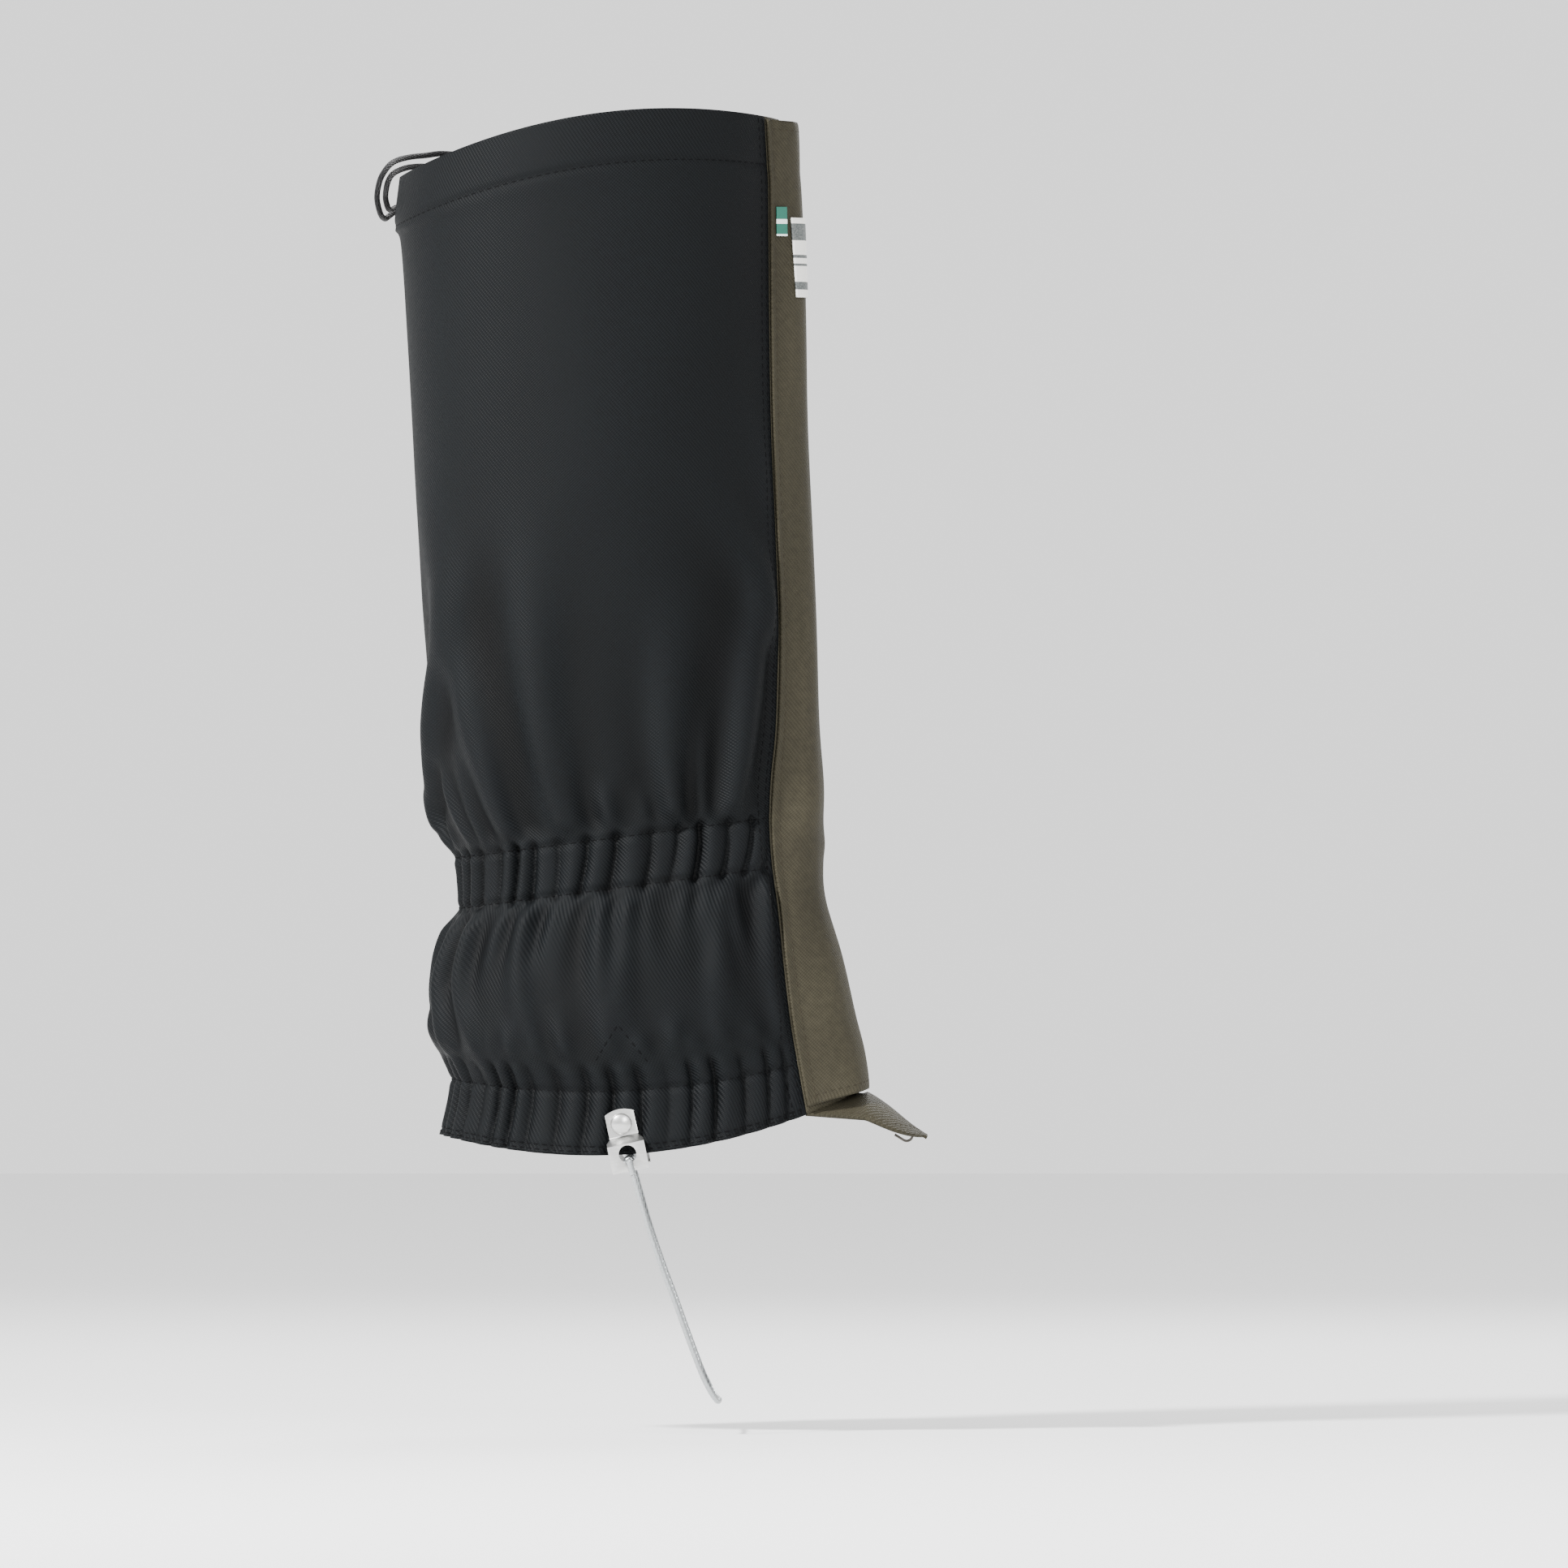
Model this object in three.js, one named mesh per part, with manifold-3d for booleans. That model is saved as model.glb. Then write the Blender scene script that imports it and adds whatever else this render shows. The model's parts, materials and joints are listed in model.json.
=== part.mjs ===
// A walking gaiter for the right foot, in millimetres, +Z up, toe towards +X, outer side of the leg at -Y.
// The origin is the middle of the bottom opening, where the boot's collar sits.
import * as THREE from 'three';
import { mergeVertices } from 'three/addons/utils/BufferGeometryUtils.js';
import Module from 'manifold-3d';

const wasm = await Module();
wasm.setup();

// Driving dimensions of the leg tube
const SHAFT_HEIGHT = 381;      // bottom hem level to the top edge, at the front
const SHIN_TOP = 58.8;         // from the rivet line forwards to the shin, at the top edge
const SHIN_SLOPE = 0.039;      // how the straight zip leans forwards on its way down to the ankle
const ANKLE_HEIGHT = 110;      // bottom hem level to the ankle elastic, at the front
const CALF_WIDTH = 117;        // across the calf
const ANKLE_WIDTH = 86;        // across the pinched ankle
const SKIRT_WIDTH = 100;       // across the bulge over the boot
const FRONT_NARROWING = 0.12;  // how much narrower the shin is than the calf
const FABRIC = 1.2;            // cloth thickness
const LAYER_GAP = 0.35;        // clear gap between two sewn layers
const SEAM_GAP = 0.5;          // clear gap along a butted seam

// Front opening
const ZIP_OPENING = 10;        // between the edges of the two front panels
const CHAIN_WIDTH = 5.2;       // across the closed teeth
const CHAIN_GAP = 0.4;         // between the two rows of teeth
const CHAIN_HEIGHT = 1.4;
const TAPE_WIDTH = 12;         // one side of the zip
const TAPE_THICKNESS = 0.8;
const SLIDER_LENGTH = 11;
const SLIDER_WALL = 1.1;
const SLIDER_CLEARANCE = 0.5;
const SLIDER_HEIGHT = 2.6;     // above the tape
const PULL_LENGTH = 20;
const PULL_WIDTH = 5;
const PULL_THICKNESS = 1;
const FLAP_STANDOFF = 5.4;     // flap's inner face above the front panels, over the zip
const FLAP_EDGE_Y = 19;        // free edge of the flap, past the middle of the shin
const FLAP_SEAM_INSET = 3;     // from the seam to the flap's own root
const FLAP_FOOT = 1.6;         // flap's inner face above the panel, at its root
const HOOK_TAPE_WIDTH = 9;
const HOOK_TAPE_THICKNESS = 1.25;
const STUD_CAP_RADIUS = 4.6;
const STUD_CAP_HEIGHT = 1.4;
const STUD_POST_RADIUS = 1.7;
const STUD_SOCKET_RADIUS = 4;
const STUD_Y = 11.5;           // from the middle of the shin, towards the inner side

// Instep plates and wire
const PLATE_TILT = THREE.MathUtils.degToRad(12);
const PLATE_THICKNESS = 1;
const PLATE_STEP = 4.6;        // joggle that leaves room for the ball end
const PLATE_TOP_WIDTH = 11;
const PLATE_WIDTH = 14;
const PLATE_TOP = 5.6;         // above the rivet
const PLATE_LENGTH = 18;       // below the rivet
const SHOULDER_DROP = 5;       // rivet to the shoulders
const KEYHOLE_DROP = 11.5;     // rivet to the keyhole's centre
const KEYHOLE_RADIUS = 3.35;
const SLOT_WIDTH = 2.6;
const SLOT_DROP = 15.6;        // rivet to the slot's end
const RIVET_HEAD_RADIUS = 4.1;
const RIVET_SHANK_RADIUS = 1.8;
const RIVET_HOLE_CLEARANCE = 0.35;
const RIVET_X = -0.6;
const RIVET_Z = 3.4;
const BALL_RADIUS = 2.2;
const WIRE_RADIUS = 0.9;

// Drawcord and cord lock
const CORD_RADIUS = 1.1;
const TUNNEL_DEPTH = 2.9;
const EYELET_RADIUS = 4;
const EYELET_HOLE = 1.7;
const EYELET_ANGLES = [124, 116];

// Colours
const BLACK_CLOTH = { color: 0x24282a, roughness: 0.85, metalness: 0 };
const OLIVE_CLOTH = { color: 0x5f5743, roughness: 0.85, metalness: 0 };
const BLACK_TRIM = { color: 0x1b1c1e, roughness: 0.8, metalness: 0 };
const STEEL = { color: 0xd9dcdc, roughness: 0.3, metalness: 1 };
const GUNMETAL = { color: 0x4c4a45, roughness: 0.35, metalness: 1 };
const PLASTIC = { color: 0x1a1b1c, roughness: 0.45, metalness: 0 };
const GREEN_TAG = { color: 0x0f5a44, roughness: 0.7, metalness: 0 };
const WHITE_LABEL = { color: 0xe6e4dc, roughness: 0.7, metalness: 0 };

const gaiter = new THREE.Group();

function add(name, geometry, look, parent = gaiter) {
  const mesh = new THREE.Mesh(geometry, new THREE.MeshStandardMaterial(look));
  mesh.name = name;
  parent.add(mesh);
  return mesh;
}

// Heights above and below the ankle elastic, and widths between the named ones
const above = (share) => ANKLE_HEIGHT + share * (SHAFT_HEIGHT - ANKLE_HEIGHT);
const below = (share) => share * ANKLE_HEIGHT;
const between = (share) => (ANKLE_WIDTH + share * (CALF_WIDTH - ANKLE_WIDTH)) / 2;
const shin = (z) => [SHIN_TOP + SHIN_SLOPE * (SHAFT_HEIGHT - z), z];
const skirt = (share) => (ANKLE_WIDTH + share * (SKIRT_WIDTH - ANKLE_WIDTH)) / 2;

// Stations of the leg tube, from the top edge to the bottom edge:
// rear x and z, front x and z, bow of the row, half width, x of the side seam
const STATIONS = [
  { rear: [-84.5, above(0.92)], front: shin(above(1)), bow: 11.5, half: between(0.97), seam: 53 },
  { rear: [-86.5, above(0.852)], front: shin(above(0.934)), bow: 10, half: between(1), seam: 54 },
  { rear: [-84.3, above(0.827)], front: shin(above(0.893)), bow: 4, half: between(1), seam: 54.5 },
  { rear: [-82, above(0.701)], front: shin(above(0.701)), bow: 0, half: between(1), seam: 54.9 },
  { rear: [-79.4, above(0.535)], front: shin(above(0.535)), bow: 0, half: between(0.95), seam: 55.8 },
  { rear: [-76.6, above(0.32)], front: shin(above(0.32)), bow: 0, half: between(0.74), seam: 58.2 },
  { rear: [-73.9, above(0.14)], front: shin(above(0.17)), bow: 0, half: between(0.46), seam: 57.6 },
  { rear: [-70, below(1.1)], front: shin(above(0.09)), bow: 0, half: between(0.2), seam: 55.6 },
  { rear: [-63.5, below(0.936)], front: shin(below(1.09)), bow: 0, half: between(0.03), seam: 54.9 },
  { rear: [-62, below(0.855)], front: shin(below(1)), bow: 0, half: between(0), seam: 55.3 },
  { rear: [-62.2, below(0.764)], front: [68.8, below(0.918)], bow: 0, half: between(0.03), seam: 56 },
  { rear: [-67.5, below(0.66)], front: [70, below(0.782)], bow: -1, half: skirt(0.55), seam: 58.2 },
  { rear: [-73, below(0.48)], front: [75.2, below(0.6)], bow: -4, half: skirt(0.95), seam: 60.3 },
  { rear: [-72.5, below(0.32)], front: [80.3, below(0.42)], bow: -7, half: skirt(1), seam: 62.8 },
  { rear: [-65, below(0.18)], front: [84, below(0.28)], bow: -9, half: skirt(0.5), seam: 65.5 },
  { rear: [-69.2, -1], front: [87, 14], bow: -14, half: skirt(0.7), seam: 69 },
];
const LAST = STATIONS.length - 1;
const ROWS = { ankleTop: 8, ankleBottom: 10, hemElastic: 14 };

// Smooth station fields between the listed ones (Catmull-Rom)
function station(v) {
  const i = Math.min(Math.max(Math.floor(v), 0), LAST - 1);
  const t = v - i;
  const pick = (k) => STATIONS[Math.min(Math.max(k, 0), LAST)];
  const [a, b, c, d] = [pick(i - 1), pick(i), pick(i + 1), pick(i + 2)];
  const blend = (get) => {
    const [p, q, r, s] = [get(a), get(b), get(c), get(d)];
    return q + 0.5 * t * (r - p + t * (2 * p - 5 * q + 4 * r - s + t * (3 * (q - r) + s - p)));
  };
  return {
    rearX: blend((k) => k.rear[0]),
    rearZ: blend((k) => k.rear[1]),
    frontX: blend((k) => k.front[0]),
    frontZ: blend((k) => k.front[1]),
    bow: blend((k) => k.bow),
    half: blend((k) => k.half),
    seam: blend((k) => k.seam),
  };
}

// A point of the leg tube. u is the angle round the leg, 0 at the shin and negative on the outer side,
// v the row and d the distance outwards from the cloth's outer face.
function leg(u, v, d = 0) {
  const s = station(v);
  const depth = (s.frontX - s.rearX) / 2;
  const middle = (s.frontX + s.rearX) / 2;
  const waist = 1 - FRONT_NARROWING * Math.cos(u);
  const tangentX = -depth * Math.sin(u);
  const tangentY = s.half * (Math.cos(u) * waist + FRONT_NARROWING * Math.sin(u) ** 2);
  const length = Math.hypot(tangentX, tangentY);
  const x = middle + depth * Math.cos(u) + (d * tangentY) / length;
  const y = s.half * Math.sin(u) * waist - (d * tangentX) / length;
  const along = (1 + Math.cos(u)) / 2;
  const z = s.rearZ + along * (s.frontZ - s.rearZ) + 4 * s.bow * along * (1 - along);
  return new THREE.Vector3(x, y, z);
}

const normalAngle = (u, v) => {
  const step = leg(u, v, 1).sub(leg(u, v, 0));
  return Math.atan2(step.y, step.x);
};

// Angle round the leg of the side seam, of a given y on the shin, and of a given y on the side
function seamAngle(v) {
  const s = station(v);
  const depth = (s.frontX - s.rearX) / 2;
  return Math.acos((s.seam - (s.frontX + s.rearX) / 2) / depth);
}
function shinAngle(y, v) {
  let u = y / 50;
  for (let i = 0; i < 8; i += 1) {
    u += (y - leg(u, v).y) / 50;
  }
  return u;
}
const arc = (length, v) => length / (station(v).half + 8);

// Row at which the shin reaches a height
function shinRow(z) {
  let low = 0;
  let high = LAST;
  for (let i = 0; i < 30; i += 1) {
    const v = (low + high) / 2;
    if (station(v).frontZ > z) low = v;
    else high = v;
  }
  return low;
}

// A closed skin between two grids of points with the same layout
function skin(cols, rows, outer, inner) {
  const grid = [];
  for (const face of [outer, inner]) {
    for (let j = 0; j <= rows; j += 1) {
      for (let i = 0; i <= cols; i += 1) {
        grid.push(...face(i / cols, j / rows).toArray());
      }
    }
  }
  const width = cols + 1;
  const size = width * (rows + 1);
  const index = [];
  const quad = (a, b, c, d) => index.push(a, b, c, a, c, d);
  for (let j = 0; j < rows; j += 1) {
    for (let i = 0; i < cols; i += 1) {
      const k = j * width + i;
      quad(k, k + width, k + width + 1, k + 1);
      quad(size + k, size + k + 1, size + k + width + 1, size + k + width);
    }
    const left = j * width;
    const right = left + cols;
    quad(left, size + left, size + left + width, left + width);
    quad(right, right + width, size + right + width, size + right);
  }
  for (let i = 0; i < cols; i += 1) {
    const bottom = rows * width + i;
    quad(i, i + 1, size + i + 1, size + i);
    quad(bottom, size + bottom, size + bottom + 1, bottom + 1);
  }
  const geometry = new THREE.BufferGeometry();
  geometry.setAttribute('position', new THREE.Float32BufferAttribute(grid, 3));
  geometry.setIndex(index);
  return geometry;
}

// A sewn layer on the leg: from and to give its edges round the leg, top and bottom its rows
function layer({ from, to, top, bottom, cols, rows, inner, outer }) {
  const at = (offset) => (i, j) => {
    const v = top + j * (bottom - top);
    const u = from(v) + i * (to(v) - from(v));
    return leg(u, v, offset(i, v, u));
  };
  return skin(cols, rows, at(outer), at(inner));
}
const constant = (value) => () => value;

// Solids for cutting
function toSolid(geometry) {
  const plain = geometry.clone();
  plain.deleteAttribute('normal');
  plain.deleteAttribute('uv');
  const merged = mergeVertices(plain.index ? plain.toNonIndexed() : plain, 1e-4);
  return new wasm.Manifold(new wasm.Mesh({
    numProp: 3,
    vertProperties: new Float32Array(merged.attributes.position.array),
    triVerts: new Uint32Array(merged.index.array),
  }));
}
function toGeometry(solid) {
  const mesh = solid.getMesh();
  const geometry = new THREE.BufferGeometry();
  geometry.setAttribute('position', new THREE.BufferAttribute(mesh.vertProperties, 3));
  geometry.setIndex(new THREE.BufferAttribute(mesh.triVerts, 1));
  return geometry;
}
function cut(geometry, ...tools) {
  return toGeometry(tools.reduce((solid, tool) => solid.subtract(toSolid(tool)), toSolid(geometry)));
}
function join(...geometries) {
  return toGeometry(geometries.map(toSolid).reduce((all, next) => all.add(next)));
}

// A turned piece: its profile runs along its own axis, which then points along the unit vector given
function turned(profile, origin, direction, segments = 16) {
  const points = profile.map(([radius, height]) => new THREE.Vector2(radius, height));
  const geometry = new THREE.LatheGeometry(points, segments);
  const turn = new THREE.Quaternion().setFromUnitVectors(new THREE.Vector3(0, 1, 0), direction);
  return geometry.applyQuaternion(turn).translate(origin.x, origin.y, origin.z);
}
const disc = (radius, low, high) => [[0, low], [radius, low], [radius, high], [0, high]];

// A round cord along a list of points
function cord(points, radius, sides, steps) {
  const section = new THREE.Shape();
  for (let i = 0; i < sides; i += 1) {
    const angle = (2 * Math.PI * i) / sides;
    section[i ? 'lineTo' : 'moveTo'](radius * Math.cos(angle), radius * Math.sin(angle));
  }
  section.closePath();
  const path = new THREE.CatmullRomCurve3(points, false, 'centripetal');
  return new THREE.ExtrudeGeometry(section, { steps, extrudePath: path, bevelEnabled: false });
}

// Main panel: black cloth from the outer side seam round the calf to the inner side seam
const panelStart = (v) => seamAngle(v) + arc(SEAM_GAP, v) / 2;
const panelEnd = (v) => 2 * Math.PI - panelStart(v);
const skinOf = { inner: constant(-FABRIC), outer: constant(0) };
const SIDES = ['lateral', 'medial'];
const PANEL_ROWS = 2 * LAST;
const PANEL_COLS = 24;
let mainPanel = layer({
  from: panelStart, to: panelEnd, top: 0, bottom: LAST, cols: PANEL_COLS, rows: PANEL_ROWS, ...skinOf,
});

// Rivets: one on each side of the skirt, on one line across the boot
function sideRow(z) {
  let low = ROWS.hemElastic;
  let high = LAST;
  for (let i = 0; i < 30; i += 1) {
    const v = (low + high) / 2;
    if (leg(Math.PI / 2, v).z > z) low = v;
    else high = v;
  }
  return low;
}
const rivetFace = leg(THREE.MathUtils.degToRad(97), sideRow(RIVET_Z)).y;
const rivetHole = turned(
  disc(RIVET_SHANK_RADIUS + RIVET_HOLE_CLEARANCE, -rivetFace - 20, rivetFace + 20),
  new THREE.Vector3(RIVET_X, 0, RIVET_Z),
  new THREE.Vector3(0, 1, 0),
);
mainPanel = cut(mainPanel, rivetHole);

// Eyelets of the drawcord, in the top hem on the inner rear side
const TUNNEL_ROW = 0.5;
const eyelets = EYELET_ANGLES.map((degrees) => {
  const u = THREE.MathUtils.degToRad(degrees);
  const angle = normalAngle(u, TUNNEL_ROW);
  return { place: leg(u, TUNNEL_ROW), out: new THREE.Vector3(Math.cos(angle), Math.sin(angle), 0) };
});
for (const { place, out } of eyelets) {
  const hole = turned(disc(EYELET_HOLE + 1.25, -4, 4), place, out, 16);
  mainPanel = cut(mainPanel, hole);
}
add('main_panel', mainPanel, BLACK_CLOTH);
eyelets.forEach(({ place, out }, i) => {
  const profile = [
    [EYELET_HOLE, 1.3], [EYELET_HOLE, -1.2], [EYELET_HOLE + 0.8, -1.2],
    [EYELET_HOLE + 0.8, 0.4], [EYELET_RADIUS, 0.4], [EYELET_RADIUS - 0.5, 1.3], [EYELET_HOLE, 1.3],
  ];
  add(`cord_eyelet_${i + 1}`, turned(profile, place, out, 16), GUNMETAL);
});

// Top hem: an inner facing that bulges round the drawcord, and the cord in its tunnel
const facing = (v) => -FABRIC - LAYER_GAP - TUNNEL_DEPTH * Math.sin(Math.PI * Math.min(v, 1));
add('top_hem_tunnel', layer({
  from: panelStart, to: panelEnd, top: 0.03, bottom: 0.97, cols: PANEL_COLS, rows: 5,
  inner: (i, v) => facing(v) - 0.8, outer: (i, v) => facing(v),
}), BLACK_CLOTH);
function tunnelCord(fromDegrees, toDegrees) {
  const points = [];
  const count = 22;
  for (let i = 0; i <= count; i += 1) {
    const u = THREE.MathUtils.degToRad(fromDegrees + ((toDegrees - fromDegrees) * i) / count);
    points.push(leg(u, TUNNEL_ROW, -FABRIC - 0.55 - CORD_RADIUS));
  }
  return cord(points, CORD_RADIUS, 8, 30);
}
add('drawcord_in_hem', tunnelCord(EYELET_ANGLES[0] + 6, 325), BLACK_TRIM);

// Elastics inside the ankle and inside the bottom hem
const ELASTIC_THICKNESS = 1;
const elastic = (top, bottom) => layer({
  from: panelStart, to: panelEnd, top, bottom, cols: PANEL_COLS, rows: 2 * (bottom - top),
  inner: constant(-FABRIC - LAYER_GAP - ELASTIC_THICKNESS), outer: constant(-FABRIC - LAYER_GAP),
});
add('ankle_elastic', elastic(ROWS.ankleTop, ROWS.ankleBottom), BLACK_TRIM);
add('hem_elastic', elastic(ROWS.hemElastic - 0.5, ROWS.hemElastic), BLACK_TRIM);

// Front panels either side of the zip
const zipEdge = (side) => (v) => side * Math.abs(shinAngle(ZIP_OPENING / 2, v));
const seamEdge = (side) => (v) => side * (seamAngle(v) - arc(SEAM_GAP, v) / 2);
const PANEL_BOTTOM = LAST - 0.02;
add('front_panel_lateral', layer({
  from: seamEdge(-1), to: zipEdge(-1), top: 0, bottom: PANEL_BOTTOM, cols: 4, rows: PANEL_ROWS, ...skinOf,
}), OLIVE_CLOTH);
add('front_panel_medial', layer({
  from: zipEdge(1), to: seamEdge(1), top: 0, bottom: PANEL_BOTTOM, cols: 4, rows: PANEL_ROWS, ...skinOf,
}), OLIVE_CLOTH);

// Zip: tapes under the panels, teeth between them, stops and the base box
const tapeTop = -FABRIC - LAYER_GAP;
const ZIP_TOP = shinRow(SHAFT_HEIGHT - 8);
const ZIP_BOTTOM = LAST - 0.25;
const shinStrip = (nearY, farY, top, bottom, rows, low, high) => layer({
  from: (v) => shinAngle(nearY, v), to: (v) => shinAngle(farY, v), top, bottom, cols: 2, rows,
  inner: constant(low), outer: constant(high),
});
SIDES.forEach((side, i) => {
  const sign = i ? 1 : -1;
  const near = CHAIN_WIDTH / 2 + 0.3;
  const strip = (a, b, ...rest) => (i ? shinStrip(a, b, ...rest) : shinStrip(-b, -a, ...rest));
  const tape = strip(near, near + TAPE_WIDTH, ZIP_TOP, ZIP_BOTTOM, 16, tapeTop - TAPE_THICKNESS, tapeTop);
  add(`zip_tape_${side}`, tape, BLACK_TRIM);
  const chainTop = ZIP_TOP + 0.06;
  const chainBottom = ZIP_BOTTOM - 0.14;
  const low = tapeTop - TAPE_THICKNESS / 2 - CHAIN_HEIGHT / 2;
  const chain = strip(CHAIN_GAP / 2, CHAIN_WIDTH / 2, chainTop, chainBottom, 16, low, low + CHAIN_HEIGHT);
  add(`zip_teeth_${side}`, chain, BLACK_TRIM);
  const stop = strip(CHAIN_GAP / 2, CHAIN_WIDTH / 2, ZIP_TOP + 0.005, chainTop - 0.025, 1, low, low + 1.6);
  add(`zip_top_stop_${side}`, stop, GUNMETAL);
});
add('zip_base_box', shinStrip(-CHAIN_WIDTH / 2, CHAIN_WIDTH / 2, ZIP_BOTTOM - 0.12, ZIP_BOTTOM, 2,
  tapeTop - 1.2, tapeTop + 0.8), GUNMETAL);

// Loop tape on the inner front panel, under the flap's free edge
const TAPE_NEAR = FLAP_EDGE_Y - 1.5 - HOOK_TAPE_WIDTH;
const STUD_ROW = shinRow(88);
const STUD_KEEP = 0.42;   // rows kept clear of tape on each side of the press stud
const TAPE_RUNS = [[0.35, STUD_ROW - STUD_KEEP], [STUD_ROW + STUD_KEEP, LAST - 0.7]];
const loopTop = LAYER_GAP + HOOK_TAPE_THICKNESS;
const hookTop = loopTop + LAYER_GAP + HOOK_TAPE_THICKNESS;
const RUN_NAMES = ['upper', 'lower'];
const RUN_ROWS = [12, 6];
TAPE_RUNS.forEach(([top, bottom], i) => {
  add(`loop_tape_${RUN_NAMES[i]}`, shinStrip(TAPE_NEAR, TAPE_NEAR + HOOK_TAPE_WIDTH, top, bottom,
    RUN_ROWS[i], LAYER_GAP, loopTop), BLACK_TRIM);
});

// Storm flap: rises from its root at the outer seam, over the zip, and down onto the tapes
const flapFoot = hookTop + LAYER_GAP;
const smooth = (t) => THREE.MathUtils.smoothstep(t, 0, 1);
function flapLift(i) {
  const up = FLAP_FOOT + (FLAP_STANDOFF - FLAP_FOOT) * smooth(i / 0.38);
  return up + (flapFoot - FLAP_STANDOFF) * smooth((i - 0.54) / 0.16);
}
const flapRoot = (v) => -seamAngle(v) + arc(FLAP_SEAM_INSET, v);
function flapEnd(v) {
  const corner = 7;
  const end = leg(0, v).z;
  const fromTop = (SHAFT_HEIGHT - 1 - end) / corner;
  const fromBottom = (end - 16) / corner;
  const near = Math.min(fromTop, fromBottom, 1);
  const inset = corner * (1 - Math.sqrt(Math.max(0, 1 - (1 - near) ** 2)));
  return shinAngle(FLAP_EDGE_Y - inset, v);
}
add('storm_flap', layer({
  from: flapRoot, to: flapEnd, top: shinRow(SHAFT_HEIGHT - 1), bottom: shinRow(16.5), cols: 10, rows: 24,
  inner: (i) => flapLift(i), outer: (i) => flapLift(i) + FABRIC,
}), OLIVE_CLOTH);
TAPE_RUNS.forEach(([top, bottom], i) => {
  add(`hook_tape_${RUN_NAMES[i]}`, shinStrip(TAPE_NEAR + 0.5, TAPE_NEAR + HOOK_TAPE_WIDTH - 0.5,
    top + 0.05, bottom - 0.05, RUN_ROWS[i], loopTop + LAYER_GAP, hookTop), BLACK_TRIM);
});

// Height of the flap's inner face above the leg at any place on it
function liftAt(u, v) {
  const start = flapRoot(v);
  return flapLift((u - start) / (flapEnd(v) - start));
}
const overFlap = (low, high) => ({
  inner: (i, v, u) => liftAt(u, v) + FABRIC + low, outer: (i, v, u) => liftAt(u, v) + FABRIC + high,
});
const LABEL_HALF_WIDTH = 12;
const LABEL_DROP = 37;         // top edge of the leg to the label
const LABEL_HEIGHT = 30;
const LABEL_THICKNESS = 0.5;
const labelTop = SHAFT_HEIGHT - LABEL_DROP;
add('front_label', layer({
  from: (v) => shinAngle(-LABEL_HALF_WIDTH, v), to: (v) => shinAngle(LABEL_HALF_WIDTH, v),
  top: shinRow(labelTop), bottom: shinRow(labelTop - LABEL_HEIGHT), cols: 6, rows: 4,
  ...overFlap(LAYER_GAP, LAYER_GAP + LABEL_THICKNESS),
}), WHITE_LABEL);
const TAG_LENGTH = 5.5;
const TAG_DROP = 33;           // top edge of the leg to the tag
const TAG_HEIGHT = 11;
const tagTop = SHAFT_HEIGHT - TAG_DROP;
add('side_tag', layer({
  from: (v) => flapRoot(v) + arc(0.2, v), to: (v) => flapRoot(v) + arc(0.2 + TAG_LENGTH, v),
  top: shinRow(tagTop), bottom: shinRow(tagTop - TAG_HEIGHT), cols: 4, rows: 2,
  ...overFlap(LAYER_GAP, LAYER_GAP + LABEL_THICKNESS),
}), GREEN_TAG);

// Press stud at the ankle: post on the inner front panel, socket and cap on the flap
const studAngle = shinAngle(STUD_Y, STUD_ROW);
const studPlace = leg(studAngle, STUD_ROW);
const studOut = leg(studAngle + 0.1, STUD_ROW).sub(leg(studAngle - 0.1, STUD_ROW))
  .cross(leg(studAngle, STUD_ROW - 0.4).sub(leg(studAngle, STUD_ROW + 0.4))).normalize();
const studLift = liftAt(studAngle, STUD_ROW);
const STUD_SEAT = 0.6;
const POST_TOP = 2.25;
const SOCKET_LOW = 1.35;
const SOCKET_TOP = studLift - 0.45;
const SOCKET_BORE = STUD_POST_RADIUS + 0.6;
add('stud_post', turned([
  [0, STUD_SEAT], [STUD_SOCKET_RADIUS, STUD_SEAT], [STUD_SOCKET_RADIUS, SOCKET_LOW - 0.3],
  [STUD_POST_RADIUS, SOCKET_LOW - 0.3], [STUD_POST_RADIUS, POST_TOP], [0, POST_TOP],
], studPlace, studOut), GUNMETAL);
add('stud_socket', turned([
  [SOCKET_BORE, SOCKET_LOW], [STUD_SOCKET_RADIUS, SOCKET_LOW], [STUD_SOCKET_RADIUS, SOCKET_TOP],
  [0, SOCKET_TOP], [0, POST_TOP + 0.35], [SOCKET_BORE, POST_TOP + 0.35], [SOCKET_BORE, SOCKET_LOW],
], studPlace, studOut), GUNMETAL);
const capLow = studLift + FABRIC + 0.55;
add('stud_cap', turned([
  [0, capLow], [STUD_CAP_RADIUS, capLow], [STUD_CAP_RADIUS, capLow + 0.4],
  [STUD_CAP_RADIUS * 0.75, capLow + 1.1], [0, capLow + STUD_CAP_HEIGHT],
], studPlace, studOut), GUNMETAL);

// Zip slider and its pull, near the top of the straight stretch of the zip
const SLIDER_Z = SHAFT_HEIGHT - 21;
const ZIP_LEAN = Math.atan(SHIN_SLOPE);
const sliderRow = shinRow(SLIDER_Z);
const zipFrame = new THREE.Group();
zipFrame.position.copy(leg(0, sliderRow));
zipFrame.rotation.y = -ZIP_LEAN;
gaiter.add(zipFrame);
const box = (x, y, z, cx, cy, cz) => new THREE.BoxGeometry(x, y, z).translate(cx, cy, cz);
const flangeLow = tapeTop + SLIDER_CLEARANCE;
const sliderTop = flangeLow + SLIDER_HEIGHT;
const sliderHalf = CHAIN_WIDTH / 2 + SLIDER_CLEARANCE + SLIDER_WALL;
const sliderBlock = box(SLIDER_HEIGHT, 2 * sliderHalf, SLIDER_LENGTH, (flangeLow + sliderTop) / 2, 0, 0);
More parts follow.
